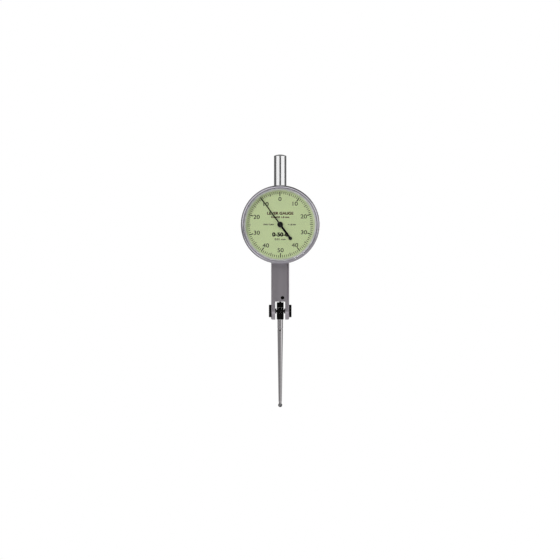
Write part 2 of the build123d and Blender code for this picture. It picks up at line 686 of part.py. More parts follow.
# Stylus hub: a clevis that turns on the arbor, with pockets for the lever's eye and the washers
with BuildPart() as stylus_hub:
    with BuildSketch(side(0, pivot_z)):
        Circle(CHEEK_RADIUS)
        Rectangle(HUB_DEPTH, HUB_DROP, align=(Align.CENTER, Align.MAX))
    extrude(amount=HUB_WIDTH / 2, both=True)
    fillet(stylus_hub.faces().sort_by(Axis.Z)[0].edges(), HUB_EDGE)
    with BuildSketch(side(0, pivot_z)):
        with Locations((0, EYE_LIP - EYE_RADIUS)):
            Rectangle(2 * CHEEK_RADIUS + OVERCUT, 2 * HUB_DROP, align=(Align.CENTER, Align.MIN))
    extrude(amount=cheek_inside, both=True, mode=Mode.SUBTRACT)
    with BuildSketch(side(0, pivot_z)):
        Circle(EYE_RADIUS + RUN)
    extrude(amount=washer_pocket, both=True, mode=Mode.SUBTRACT)
    with BuildSketch(side(0, pivot_z)):
        Circle(ARBOR_DIAMETER / 2 + RUN)
    extrude(amount=HUB_WIDTH, both=True, mode=Mode.SUBTRACT)
    with BuildSketch(Plane.XY.offset(hub_end)):
        Circle(HOLDER_SPIGOT / 2 + SEAT)
    extrude(amount=HOLDER_SPIGOT_LENGTH + PLAY, mode=Mode.SUBTRACT)

# Holder that screws into the hub, and the tapered stylus that screws into the holder
with BuildPart() as stylus_holder:
    with BuildSketch(Plane.XZ):
        with BuildLine():
            Polyline(
                (0, hub_end + HOLDER_SPIGOT_LENGTH),
                (HOLDER_SPIGOT / 2, hub_end + HOLDER_SPIGOT_LENGTH),
                (HOLDER_SPIGOT / 2, hub_end),
                (HOLDER_DIAMETER / 2, hub_end),
                (HOLDER_DIAMETER / 2, holder_end + STYLUS_GROOVE),
                (HOLDER_DIAMETER / 2 - STYLUS_GROOVE, holder_end),
                (STYLUS_SPIGOT / 2 + SEAT, holder_end),
                (STYLUS_SPIGOT / 2 + SEAT, holder_end + STYLUS_SPIGOT_LENGTH + PLAY),
                (0, holder_end + STYLUS_SPIGOT_LENGTH + PLAY),
                close=True,
            )
        make_face()
    revolve(axis=Axis.Z)

with BuildPart() as stylus:
    with BuildSketch(Plane.XZ):
        with BuildLine():
            Polyline(
                (0, ball_z + BALL_DIAMETER / 2),
                (0, holder_end + STYLUS_SPIGOT_LENGTH),
                (STYLUS_SPIGOT / 2, holder_end + STYLUS_SPIGOT_LENGTH),
                (STYLUS_SPIGOT / 2, holder_end),
                (STYLUS_TOP_DIAMETER / 2 - STYLUS_GROOVE, holder_end),
                (STYLUS_TOP_DIAMETER / 2, holder_end - STYLUS_GROOVE),
                (STYLUS_END_DIAMETER / 2, neck_top),
                (NECK_DIAMETER / 2, neck_top - (STYLUS_END_DIAMETER - NECK_DIAMETER)),
                (NECK_DIAMETER / 2, ball_z + ball_seat),
            )
            CenterArc((0, ball_z), BALL_DIAMETER / 2, 90 - seat_angle, seat_angle)
        make_face()
    revolve(axis=Axis.Z)
    with BuildSketch(front(-STYLUS_TOP_DIAMETER / 2, holder_end - SPANNER_DROP)):
        Circle(SPANNER_HOLE / 2)
    extrude(amount=-SPANNER_DEPTH, mode=Mode.SUBTRACT)

with BuildPart() as contact_ball:
    with Locations((0, 0, ball_z)):
        Sphere(BALL_DIAMETER / 2)

# Stop screw in the bar's front, its tip just clear of the lever
with BuildPart() as stop_screw:
    with BuildSketch(front(bar_front + STOP_RECESS, pivot_z + STOP_RISE)):
        with Locations((STOP_X, 0)):
            Circle(STOP_DIAMETER / 2)
    extrude(amount=bar_front + STOP_RECESS + SHANK_DEPTH / 2 + stop_gap)
    with BuildSketch(front(bar_front + STOP_RECESS, pivot_z + STOP_RISE)):
        with Locations((STOP_X, 0)):
            Rectangle(STOP_DIAMETER + OVERCUT, STOP_SLOT, rotation=PIVOT_SLOT_ANGLE)
    extrude(amount=-STOP_SLOT_DEPTH, mode=Mode.SUBTRACT)

# Sector lever: swings on a pin across the bar, its toothed rim below the crown pinion
with BuildPart() as sector_pin:
    with BuildSketch(side(-bar_half, sector_z)):
        Circle(SECTOR_PIN_DIAMETER / 2)
    extrude(amount=BAR_WIDTH)

with BuildPart() as sector_bush:
    with BuildSketch(side(sector_left, sector_z)):
        Circle(SECTOR_BUSH_DIAMETER / 2)
        Circle(SECTOR_PIN_DIAMETER / 2 + RUN, mode=Mode.SUBTRACT)
    extrude(amount=cover_inside - PLAY - sector_left)

with BuildPart() as sector_lever:
    with BuildSketch(side(sector_left, sector_z)):
        Circle(SECTOR_HUB_DIAMETER / 2)
        with Locations((0, lower_pin_z - sector_z - SECTOR_TAIL)):
            Rectangle(SECTOR_ARM, sector_arm_length, align=(Align.CENTER, Align.MIN))
        with BuildLine():
            outer_arc = CenterArc((0, 0), sector_root, rim_start, rim_sweep)
            inner_arc = CenterArc((0, 0), sector_root - SECTOR_RIM, rim_start, rim_sweep)
            Line(outer_arc @ 0, inner_arc @ 0)
            Line(outer_arc @ 1, inner_arc @ 1)
        make_face()
        with PolarLocations(0, sector_teeth, first_tooth, -sector_teeth * tooth_step):
            add(sector_tooth)
        Circle(SECTOR_BUSH_DIAMETER / 2 + SEAT, mode=Mode.SUBTRACT)
    extrude(amount=SECTOR_THICKNESS)

# Crown arbor across the bar, with its pinion, its wheel and the bushes that carry it
with BuildPart() as crown_arbor:
    with BuildSketch(dial_level):
        with BuildLine():
            Polyline(
                (pocket_left + PLAY - JOURNAL_LENGTH, 0),
                (pocket_left + PLAY - JOURNAL_LENGTH, JOURNAL_DIAMETER / 2),
                (pocket_left + PLAY, JOURNAL_DIAMETER / 2),
                (pocket_left + PLAY, arbor_radius),
                (cover_inside - PLAY, arbor_radius),
                (cover_inside - PLAY, JOURNAL_DIAMETER / 2),
                (cover_inside - PLAY + JOURNAL_LENGTH, JOURNAL_DIAMETER / 2),
                (cover_inside - PLAY + JOURNAL_LENGTH, 0),
                close=True,
            )
        make_face()
    revolve(axis=crown_axis)

with BuildPart() as crown_bushes:
    for start, length in ((-bar_half, BAR_WALL), (cover_inside, COVER_THICKNESS)):
        with BuildSketch(side(start, dial_z)):
            Circle(BUSH_DIAMETER / 2)
            Circle(JOURNAL_DIAMETER / 2 + RUN, mode=Mode.SUBTRACT)
        extrude(amount=length)

with BuildPart() as crown_pinion:
    with BuildSketch(side((sector_left + sector_right - PINION_LENGTH) / 2, dial_z)):
        Circle(pinion_root)
        with PolarLocations(0, PINION_TEETH, -90):
            add(pinion_tooth)
        Circle(arbor_radius + SEAT, mode=Mode.SUBTRACT)
    extrude(amount=PINION_LENGTH)

with BuildPart() as crown_wheel:
    with BuildSketch(side(crown_root_x - CROWN_WEB, dial_z)):
        Circle(crown_outside)
    extrude(amount=CROWN_WEB)
    with BuildSketch(side(crown_root_x - CROWN_WEB, dial_z)):
        Circle(CROWN_BOSS_DIAMETER / 2)
    extrude(amount=-CROWN_BOSS_LENGTH)
    with BuildSketch(side(crown_root_x, dial_z)):
        with PolarLocations(crown_pitch, CROWN_TEETH, 180 + 180 / CROWN_TEETH):
            Rectangle(CROWN_FACE, crown_tooth_root)
    extrude(amount=crown_tooth_height, taper=CROWN_TAPER)
    with BuildSketch(side(crown_root_x, dial_z)):
        Circle(arbor_radius + SEAT)
    extrude(amount=-CROWN_WEB - CROWN_BOSS_LENGTH, mode=Mode.SUBTRACT)

# Needle arbor with its pinion, held by a bush in the case floor and a bridge in the bar
with BuildPart() as center_arbor:
    with BuildSketch(dial_level):
        with BuildLine():
            Polyline(
                (0, boss_front + BOSS_DOME),
                (arbor_radius, boss_front + BOSS_DOME),
                (arbor_radius, pinion_back),
                (JOURNAL_DIAMETER / 2, pinion_back),
                (JOURNAL_DIAMETER / 2, bridge_back),
                (0, bridge_back),
                close=True,
            )
        make_face()
    revolve(axis=dial_axis)

with BuildPart() as center_pinion:
    with BuildSketch(front(pinion_back)):
        Circle(pinion_root)
        with PolarLocations(0, PINION_TEETH, 180):
            add(pinion_tooth)
        Circle(arbor_radius + SEAT, mode=Mode.SUBTRACT)
    extrude(amount=PINION_LENGTH)

with BuildPart() as center_bush:
    with BuildSketch(front(bar_front)):
        Circle(CENTER_BUSH_DIAMETER / 2)
        Circle(arbor_radius + RUN, mode=Mode.SUBTRACT)
    extrude(amount=CENTER_BUSH_LENGTH)

with BuildPart() as center_bridge:
    with BuildSketch(side(-BRIDGE_LEFT, dial_z)):
        with Locations((bridge_front, -BRIDGE_END)):
            Rectangle(BRIDGE_THICKNESS, bridge_top + BRIDGE_END, align=(Align.MIN, Align.MIN))
        with Locations((-pocket_half, bridge_foot)):
            Rectangle(bridge_back + pocket_half, BRIDGE_FOOT, align=(Align.MIN, Align.MIN))
    extrude(amount=BRIDGE_WIDTH)
    with BuildSketch(front(bridge_back)):
        Circle(JOURNAL_DIAMETER / 2 + RUN)
        with Locations(*bridge_screw_places):
            Circle(SCREW_DIAMETER / 2 + SEAT)
    extrude(amount=BAR_DEPTH, mode=Mode.SUBTRACT)

with BuildPart() as bridge_screws:
    with Locations(front(bar_front)):
        with Locations(*bridge_screw_places):
            add(bridge_screw)

# Hairspring in the case, from its collet on the arbor out to its stud
with BuildPart() as hairspring:
    with BuildSketch(front(spring_back)):
        with BuildLine():
            for half_turn in range(SPRING_HALF_TURNS):
                CenterArc(
                    (half_turn % 2 * SPRING_PITCH / 2, 0),
                    spring_start + half_turn * SPRING_PITCH / 2,
                    half_turn % 2 * 180,
                    180,
                )
        trace(line_width=SPRING_THICKNESS)
    extrude(amount=SPRING_HEIGHT)

with BuildPart() as hairspring_collet:
    with BuildSketch(front(spring_back - (SPRING_HEIGHT - COLLET_LENGTH) / 2)):
        Circle(COLLET_DIAMETER / 2)
        Circle(arbor_radius + SEAT, mode=Mode.SUBTRACT)
    extrude(amount=COLLET_LENGTH)

with BuildPart() as hairspring_stud:
    with BuildSketch(front(floor_front + STUD_BITE)):
        with Locations((stud_x, 0)):
            Circle(STUD_DIAMETER / 2)
    extrude(amount=STUD_BITE + SPRING_STANDOFF + SPRING_HEIGHT + PLAY)

# Needle with its counterweight tail, on a domed boss
needle_plane = Plane(
    origin=(0, needle_back, dial_z),
    x_dir=(cos(radians(NEEDLE_ANGLE)), 0, sin(radians(NEEDLE_ANGLE))),
    z_dir=(0, -1, 0),
)
with BuildPart() as needle:
    with BuildSketch(needle_plane):
        with BuildLine():
            Polyline(
                (0, -NEEDLE_ROOT / 2),
                (needle_length, -NEEDLE_TIP / 2),
                (needle_length, NEEDLE_TIP / 2),
                (0, NEEDLE_ROOT / 2),
                close=True,
            )
        make_face()
        Rectangle(NEEDLE_TAIL, NEEDLE_TAIL_WIDTH, align=(Align.MAX, Align.CENTER))
        with Locations((-NEEDLE_TAIL, 0)):
            Circle(NEEDLE_TAIL_DISC / 2)
        Circle(NEEDLE_HUB / 2)
        Circle(BOSS_TUBE_DIAMETER / 2 + SEAT, mode=Mode.SUBTRACT)
    extrude(amount=NEEDLE_THICKNESS)

with BuildPart() as needle_boss:
    with BuildSketch(dial_level):
        with BuildLine():
            Polyline(
                (0, boss_front),
                (0, boss_front + BOSS_DOME - SEAT),
                (arbor_radius + SEAT, boss_front + BOSS_DOME - SEAT),
                (arbor_radius + SEAT, boss_back),
                (BOSS_COLLAR_DIAMETER / 2, boss_back),
                (BOSS_COLLAR_DIAMETER / 2, needle_back),
                (BOSS_TUBE_DIAMETER / 2, needle_back),
                (BOSS_TUBE_DIAMETER / 2, needle_front),
            )
            CenterArc((0, boss_front + boss_sphere), boss_sphere, boss_angle - 90, -boss_angle)
        make_face()
    revolve(axis=dial_axis)

pieces = {
    "stem": stem,
    "body_frame": body_frame,
    "side_cover": side_cover,
    "side_cover_screws": side_cover_screws,
    "dial_case": dial_case,
    "case_screws": case_screws,
    "bezel": bezel,
    "bezel_wire": bezel_wire,
    "dial_retainer": dial_retainer,
    "dial_plate": dial_plate,
    "dial_spacer": dial_spacer,
    "crystal": crystal,
    "pivot_screw_left": pivot_screw_left,
    "pivot_screw_right": pivot_screw_right,
    "pivot_arbor": pivot_arbor,
    "measuring_lever": measuring_lever,
    "drive_pins": drive_pins,
    "clutch_washers": clutch_washers,
    "stylus_hub": stylus_hub,
    "stylus_holder": stylus_holder,
    "stylus": stylus,
    "contact_ball": contact_ball,
    "stop_screw": stop_screw,
    "sector_pin": sector_pin,
    "sector_bush": sector_bush,
    "sector_lever": sector_lever,
    "crown_arbor": crown_arbor,
    "crown_bushes": crown_bushes,
    "crown_pinion": crown_pinion,
    "crown_wheel": crown_wheel,
    "center_arbor": center_arbor,
    "center_pinion": center_pinion,
    "center_bush": center_bush,
    "center_bridge": center_bridge,
    "bridge_screws": bridge_screws,
    "hairspring": hairspring,
    "hairspring_collet": hairspring_collet,
    "hairspring_stud": hairspring_stud,
    "needle": needle,
    "needle_boss": needle_boss,
}

os.makedirs("parts", exist_ok=True)
for name, piece in pieces.items():
    piece.part.label = name
    export_step(piece.part, f"parts/{name}.step")

print(f"needle 360, crown {360 / crown_ratio:.3f} degrees")
print(f"sector {sector_swing:.4f}, lever {lever_swing:.5f} degrees")
print(f"module {module:.4f}, sector pitch radius {sector_pitch:.3f}, lever gain {lever_gain:.4f}")
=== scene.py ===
import json
from math import ceil, cos, pi, radians, sin, sqrt, tan

import bmesh
import bpy
from mathutils import Matrix, Vector


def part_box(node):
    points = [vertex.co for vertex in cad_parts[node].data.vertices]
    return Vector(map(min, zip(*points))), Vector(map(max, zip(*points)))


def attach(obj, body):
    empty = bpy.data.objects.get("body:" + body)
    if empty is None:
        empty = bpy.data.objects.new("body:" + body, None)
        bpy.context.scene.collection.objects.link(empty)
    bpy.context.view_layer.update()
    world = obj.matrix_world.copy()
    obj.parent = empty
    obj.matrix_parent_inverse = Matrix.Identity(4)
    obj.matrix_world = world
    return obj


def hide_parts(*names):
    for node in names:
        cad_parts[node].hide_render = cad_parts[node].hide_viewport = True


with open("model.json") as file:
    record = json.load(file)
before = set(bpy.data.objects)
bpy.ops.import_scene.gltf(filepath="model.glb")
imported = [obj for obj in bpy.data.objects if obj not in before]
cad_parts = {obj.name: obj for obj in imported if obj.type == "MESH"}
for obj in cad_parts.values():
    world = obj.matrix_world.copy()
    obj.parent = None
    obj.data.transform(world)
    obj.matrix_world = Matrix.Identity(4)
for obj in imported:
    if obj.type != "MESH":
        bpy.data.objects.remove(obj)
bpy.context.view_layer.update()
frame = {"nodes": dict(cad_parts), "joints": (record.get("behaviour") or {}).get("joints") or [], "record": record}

# Looks of the dial test indicator. Sizes are in millimetres, and meshes are written in metres.
MM = 0.001
joints = {joint["name"]: joint for joint in frame["joints"]}
dial_z = joints["bezel_turn"]["pos_m"][2] / MM
pivot_z = joints["stylus_set"]["pos_m"][2] / MM
DIAL_CENTRE = (0.0, 0.0, dial_z * MM)

# Turned edges and eased corners
EDGE = 0.08  # rounding of a turned corner
ARC_STEPS = 4
LEG_SHARE = 0.45  # most of an edge that the rounding at one end may take
HOLD = 0.03  # narrow band beside a rounded corner that keeps the flat beside it flat
ON_AXIS = HOLD / 100  # a radius below it is on the axis
WELD = 0.002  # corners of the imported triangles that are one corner
FLAT = radians(0.6)
EASED_ANGLE = radians(35)
SHARP = radians(26)
EASE_SEGMENTS = 2
BAR_EASE = 0.06
NEEDLE_EASE = 0.03
LEVER_EASE = 0.08
HUB_EASE = 0.1
STOP_EASE = 0.04
FINISH_BESIDE = -1  # bevelled edges keep the finish of the faces beside them
FINISH_OF_EDGES = 1  # bevelled edges have the second finish of their piece
SMOOTH_TURN = 160  # facets round a large turned piece
FINE_TURN = 64  # facets round a small one
FACE_RINGS = 8  # rings on the flat face of a screw

# Bezel ring
BEZEL_RIM = 1.45
BEZEL_WALL = 1.05
BEZEL_LIP = 0.6
BEZEL_EDGE = 1.25  # rounding of the front rim
BEZEL_EDGE_STEPS = 14
BEZEL_INNER_EDGE = 0.12
RIM_DEPTH = 2.2
GRIP_STEP = 0.2
FLUTES = 90
FLUTE_STEPS = 12  # facets for each flute and the land beside it
FLUTE_RADIUS = 0.35
FLUTE_DEPTH = 0.2
WIRE_Y = -6.2
WIRE_ROOM_BEZEL = 0.31
WIRE_ROOM_CASE = 0.4
RETAINER_ROOM = 0.15

# Crystal, spacer, dial and case
CRYSTAL_SEAT = 0.01
CRYSTAL_BEVEL = 1.0
CRYSTAL_BEVEL_DROP = 0.5
CRYSTAL_FLANGE = 0.8
SPACER_WIDTH = 1.59
SPACER_FLARE = 0.2
SPACER_GAP = 0.06  # clear of the crystal's back
DIAL_HOLE = 1.1
CASE_FLOOR = 1.0
CASE_WALL = 1.2
CASE_CHAMFER = 0.5
CASE_HOLE = 1.51

# Dial print
DIVISIONS = 100
NUMERALS = 10
MARK_OUTER = 15.92
MARK_LENGTHS = (1.15, 1.55, 2.1)  # plain, every fifth and every tenth
MARK_WIDTHS = (0.26, 0.32, 0.44)
PRINT_HEIGHT = 0.012
PRINT_TURN = radians(0.6)
NUMERAL_SIZE = 2.75
NUMERAL_WIDTH = 1.16
NUMERAL_WEIGHT = 0.01  # thickening of the strokes, as a share of the size
NUMERAL_PLACE = (12.0, 12.4)  # across and up from the dial's centre
# Each legend: words, size, thickening of the strokes as a share of it, and place to the right and up
LEGENDS = (
    ("LEVER GAUGE", 1.75, 0.055, 0.0, 5.45),
    ("RANGE 1.0 mm", 1.15, 0.053, 0.0, 3.6),
    ("ONE TURN", 0.85, 0.055, -5.6, 0.0),
    ("= 1.0 mm", 0.85, 0.075, 5.6, 0.0),
    ("0-50-0", 2.5, 0.06, 0.0, -4.8),
    ("0.01 mm", 1.3, 0.02, 0.0, -7.1),
)

# Needle
BOSS_COLLAR = 1.2
BOSS_TUBE = 0.8
BOSS_BORE = 0.51

# Bar, stem, stylus and its holder
JOINT_LINE = 0.3  # shadow line between the bar and its cover
COVER_SIDE = 10.0  # edges of the cover that are longer are those along the bar
STEM_CROWN = 0.65
STEM_SPIGOT = 2 / 3  # share of the stem's radius
CROWN_STEPS = 10
HOLDER_SPIGOT = 0.75
HOLDER_RADIUS = 1.34
STYLUS_GROOVE = 0.22
SPANNER_HOLE = 0.8
SPANNER_DROP = 0.65
SPANNER_DEPTH = 1.0
STYLUS_TOP = 1.33
STYLUS_END = 0.8
NECK_RADIUS = 0.7
NECK_LENGTH = 1.2
BALL_STEPS = 32

# Pivot screws and the small slotted screws
PIVOT_HEAD_HEIGHT = 1.15
PIVOT_SHANK = 1.3
PIVOT_COLLAR = 1.22  # stands out of the ear towards the hub
COLLAR_GAP = 0.15
FORK_HALF = 2.4  # half of the fork's slot
PIVOT_HEAD_EDGE = 0.3
PIVOT_SLOT = 0.8
PIVOT_SLOT_DEPTH = 0.45
PIVOT_SLOT_ANGLE = radians(20)
SCREW_HEAD = 1.1
SCREW_SHANK = 0.6
SCREW_HEAD_HEIGHT = 0.5
SCREW_SLOT = 0.35
SCREW_SLOT_DEPTH = 0.25
SCREW_SEED = 4

# Photograph's frame, at the plane of the bar's front
FRAME_WIDTH = 271.6
FRAME_CENTRE_X = -0.1
FRAME_CENTRE_Z = -44.84
CAMERA_DISTANCE = 3000.0
SENSOR_WIDTH = 36.0
CLIP_NEAR = 10.0
CLIP_FAR = 20000.0


def reach(node):
    """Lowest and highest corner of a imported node, in millimetres."""
    low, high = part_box(node)
    return low / MM, high / MM


# Nodes


def add_node(tree, kind, inputs=None, **settings):
    """New node with its settings and inputs; an input is a value or another node's output."""
    node = tree.nodes.new(kind)
    for name, value in settings.items():
        setattr(node, name, value)
    for key, value in (inputs or {}).items():
        if isinstance(value, bpy.types.NodeSocket):
            tree.links.new(value, node.inputs[key])
        else:
            node.inputs[key].default_value = value
    return node


def math_node(tree, operation, *values, clamp=False):
    """Output of a Math node on the values or sockets given."""
    inputs = dict(enumerate(values))
    return add_node(tree, "ShaderNodeMath", inputs, operation=operation, use_clamp=clamp).outputs[0]


def start_group(name, kind, inputs, outputs):
    """New node group with named sockets, its input sockets and its output node."""
    tree = bpy.data.node_groups.new(name, kind)
    for socket, value_kind in inputs.items():
        tree.interface.new_socket(socket, in_out="INPUT", socket_type=value_kind)
    for socket, value_kind in outputs.items():
        tree.interface.new_socket(socket, in_out="OUTPUT", socket_type=value_kind)
    given = add_node(tree, "NodeGroupInput").outputs
    return tree, given, add_node(tree, "NodeGroupOutput")


# Shared finishes
GRAIN_DETAIL = 5.0
GRAIN_BREAK = 0.62  # how rough the fine detail of the grain is
CLOUD_DETAIL = 2.0
CLOUD_BREAK = 0.5
CLOUD_SCALE = 0.04  # share of the grain's scale
ALONG_BAR = (1.0, 1.0, 0.06)  # grain drawn out along Z
ROUND_STEM = (0.08, 0.08, 1.0)  # grinding marks that run round a Z axis
EVEN = (1.0, 1.0, 1.0)
TURNED = "turned"  # lathe marks about the dial axis
PAINT_ROUGHNESS_CHANGE = 0.1
ACRYLIC_IOR = 1.49


def make_grain_group():
    """Fine grain with broad clouding under it: colour, roughness and height."""
    tree, given, result = start_group(
        "machined_grain",
        "ShaderNodeTree",
        {
            "Vector": "NodeSocketVector",
            "Grain Scale": "NodeSocketFloat",
            "Cloud Scale": "NodeSocketFloat",
            "Tone": "NodeSocketColor",
            "Tone Change": "NodeSocketFloat",
            "Roughness": "NodeSocketFloat",
            "Roughness Change": "NodeSocketFloat",
        },
        {"Color": "NodeSocketColor", "Roughness": "NodeSocketFloat", "Height": "NodeSocketFloat"},
    )
    noises = []
    for scale, detail, broken in (
        (given["Grain Scale"], GRAIN_DETAIL, GRAIN_BREAK),
        (given["Cloud Scale"], CLOUD_DETAIL, CLOUD_BREAK),
    ):
        inputs = {"Vector": given["Vector"], "Scale": scale, "Detail": detail, "Roughness": broken}
        noises.append(add_node(tree, "ShaderNodeTexNoise", inputs).outputs["Fac"])
    grain, cloud = noises
    both = math_node(tree, "SUBTRACT", math_node(tree, "ADD", grain, cloud), 1.0)
    level = math_node(tree, "MULTIPLY_ADD", both, given["Tone Change"], 1.0)
    tone = add_node(tree, "ShaderNodeVectorMath", {0: given["Tone"], "Scale": level}, operation="SCALE")
    rough = math_node(tree, "MULTIPLY_ADD", both, given["Roughness Change"], given["Roughness"], clamp=True)
    tree.links.new(tone.outputs[0], result.inputs["Color"])
    tree.links.new(rough, result.inputs["Roughness"])
    tree.links.new(grain, result.inputs["Height"])
    return tree


grain_group = make_grain_group()


def begin_material(name):
    """New material, its tree and its shader."""
    material = bpy.data.materials.new(name)
    material.use_nodes = True
    tree = material.node_tree
    return material, tree, tree.nodes["Principled BSDF"]


def drawn_coordinates(tree, stretch):
    """Object coordinates stretched so that the grain runs one way."""
    place = add_node(tree, "ShaderNodeTexCoord").outputs["Object"]
    return add_node(tree, "ShaderNodeMapping", {"Vector": place, "Scale": stretch}).outputs[0]


def turned_coordinates(tree):
    """Coordinates that run outwards from the dial axis and along it, for marks that a lathe leaves."""
    place = add_node(tree, "ShaderNodeTexCoord").outputs["Object"]
    apart = add_node(tree, "ShaderNodeVectorMath", {0: place, 1: DIAL_CENTRE}, operation="SUBTRACT")
    split = add_node(tree, "ShaderNodeSeparateXYZ", {0: apart.outputs[0]}).outputs
    across = math_node(tree, "MULTIPLY", split[0], split[0])
    square = math_node(tree, "MULTIPLY_ADD", split[2], split[2], across)
    radius = math_node(tree, "SQRT", square)
    return add_node(tree, "ShaderNodeCombineXYZ", {0: radius, 1: split[1]}).outputs[0]


def add_grain(tree, shader, vector, tone, roughness, grain, tone_change, roughness_change, height):
    """Grain on a shader: its colour, roughness and a bump of the given height in millimetres."""
    group = add_node(tree, "ShaderNodeGroup", node_tree=grain_group)
    values = {
        "Grain Scale": 1 / (grain * MM),
        "Cloud Scale": CLOUD_SCALE / (grain * MM),
        "Tone": (*tone, 1.0),
        "Tone Change": tone_change,
        "Roughness": roughness,
        "Roughness Change": roughness_change,
    }
    for name, value in values.items():
        group.inputs[name].default_value = value
    tree.links.new(vector, group.inputs["Vector"])
    tree.links.new(group.outputs["Color"], shader.inputs["Base Color"])
    tree.links.new(group.outputs["Roughness"], shader.inputs["Roughness"])
    if height:
        relief = {"Strength": 1.0, "Distance": height * MM, "Height": group.outputs["Height"]}
        bump = add_node(tree, "ShaderNodeBump", relief)
        tree.links.new(bump.outputs[0], shader.inputs["Normal"])


def metal(name, tone, roughness, grain, way, tone_change, roughness_change, height):
    """Bare or plated metal whose grain is drawn out one way, or turned about the dial axis."""
    material, tree, shader = begin_material(name)
    shader.inputs["Metallic"].default_value = 1.0
    vector = turned_coordinates(tree) if way == TURNED else drawn_coordinates(tree, way)
    add_grain(tree, shader, vector, tone, roughness, grain, tone_change, roughness_change, height)
    return material


def painted(name, tone, roughness, grain, tone_change, height, gloss=0.5):
    """Thin matt or satin paint, clouded a little."""
    material, tree, shader = begin_material(name)
    shader.inputs["Specular IOR Level"].default_value = gloss
    vector = drawn_coordinates(tree, EVEN)
    add_grain(tree, shader, vector, tone, roughness, grain, tone_change, PAINT_ROUGHNESS_CHANGE, height)
    return material


def clear_plastic(name):
    """Clear moulded crystal with faint wiping marks."""
    material, tree, shader = begin_material(name)
    shader.inputs["Transmission Weight"].default_value = 1.0
    shader.inputs["IOR"].default_value = ACRYLIC_IOR
    vector = drawn_coordinates(tree, EVEN)
    add_grain(
        tree,
        shader,
        vector,
        tone=(0.985, 0.99, 0.985),
        roughness=0.012,
        grain=0.8,
        tone_change=0.01,
        roughness_change=0.012,
        height=0,
    )
    return material


# Metals: colour, roughness, size and way of the grain, changes of colour and roughness, height of the grain
bar_chrome = metal("bar_satin_chrome", (0.56, 0.52, 0.565), 0.3, 0.1, ALONG_BAR, 0.16, 0.04, 0.001)
ring_chrome = metal("bezel_chrome", (0.53, 0.51, 0.56), 0.2, 0.06, TURNED, 0.08, 0.08, 0.001)
case_chrome = metal("case_satin_chrome", (0.42, 0.423, 0.435), 0.34, 0.08, TURNED, 0.1, 0.1, 0.002)
stem_steel = metal("stem_ground_steel", (0.88, 0.88, 0.885), 0.12, 0.07, ROUND_STEM, 0.08, 0.08, 0.0008)
stylus_steel = metal("stylus_ground_steel", (0.66, 0.635, 0.645), 0.07, 0.06, ROUND_STEM, 0.1, 0.06, 0.001)
# Dark metal on the walls of holes and slots, far darker than their steel: painted shade in recesses
recess_shade_steel = metal("recess_shade_steel", (0.07, 0.07, 0.07), 0.6, 0.05, EVEN, 0.12, 0.12, 0.002)
screw_steel = metal("screw_steel", (0.5, 0.5, 0.51), 0.3, 0.08, EVEN, 0.16, 0.14, 0.002)
rubbed_oxide = metal("rubbed_oxide", (0.04, 0.038, 0.038), 0.4, 0.08, EVEN, 0.9, 0.2, 0.002)
movement_brass = metal("movement_brass", (0.66, 0.47, 0.19), 0.27, 0.07, EVEN, 0.12, 0.12, 0.001)
blued_spring = metal("blued_spring_steel", (0.08, 0.11, 0.25), 0.22, 0.05, EVEN, 0.2, 0.1, 0.0005)
ball_carbide = metal("ball_lapped_carbide", (0.2, 0.2, 0.205), 0.28, 0.04, EVEN, 0.1, 0.06, 0.0003)

# Paints and inks: colour, roughness, size of the grain, change of colour, height of the grain, gloss
black_oxide = painted("black_oxide", (0.0025, 0.0022, 0.0022), 0.4, 0.12, 0.5, 0.003, 0.06)
needle_black = painted("needle_black", (0.004, 0.004, 0.0042), 0.5, 0.06, 0.3, 0.001, 0.15)
dial_paint = painted("dial_pale_green", (0.715, 0.832, 0.46), 0.6, 0.09, 0.05, 0.001)
dial_ink = painted("dial_ink", (0.006, 0.006, 0.006), 0.6, 0.05, 0.35, 0.0005, 0.15)
name_ink = painted("dial_brown_ink", (0.07, 0.015, 0.012), 0.6, 0.05, 0.3, 0.0005, 0.15)
spacer_silver = painted("spacer_silver", (0.68, 0.67, 0.7), 0.42, 0.06, 0.12, 0.001)
crystal_clear = clear_plastic("crystal_clear")

SLOT_FINISHES = {
    "satin_chrome": bar_chrome,
    "ground_steel": stem_steel,
    "black_oxide": black_oxide,
    "black_paint": needle_black,
    "screw_steel": screw_steel,
    "dial_green": dial_paint,
    "spacer_silver": spacer_silver,
    "clear_crystal": crystal_clear,
    "movement_brass": movement_brass,
    "spring_steel": blued_spring,
    "ball_carbide": ball_carbide,
}


# Mesh helpers


def about_dial(radius, along, angle):
    """Point turned about the dial axis, in metres."""
    return Vector((radius * cos(angle), along, dial_z + radius * sin(angle))) * MM


def about_stem(radius, along, angle):
    """Point turned about the stem axis, in metres."""
    return Vector((radius * cos(angle), radius * sin(angle), along)) * MM


def about_pivot(radius, along, angle):
    """Point turned about the stylus pivot, in metres."""
    return Vector((along, radius * cos(angle), pivot_z + radius * sin(angle))) * MM


def rounded(outline, closed):
    """Points of an outline of (radius, along, edge) corners, each rounded to its edge."""
    points = []
    count = len(outline)
    for index, (radius, along, edge) in enumerate(outline):
        corner = Vector((radius, along))
        if edge == 0 or (not closed and index in (0, count - 1)):
            points.append(corner)
            continue
        back = Vector(outline[index - 1][:2]) - corner
        on = Vector(outline[(index + 1) % count][:2]) - corner
        half = back.angle(on) / 2
        setback = min(edge / tan(half), LEG_SHARE * back.length, LEG_SHARE * on.length)
        hold = setback + min(HOLD, setback / 4)
        back.normalize()
        on.normalize()
        middle = corner + (back + on).normalized() * (setback / cos(half))
        start = corner + back * setback - middle
        end = corner + on * setback - middle
        points.append(corner + back * hold)
        for step in range(ARC_STEPS + 1):
            share = step / ARC_STEPS
            points.append(middle + (start * (1 - share) + end * share).normalized() * start.length)
        points.append(corner + on * hold)
    return points


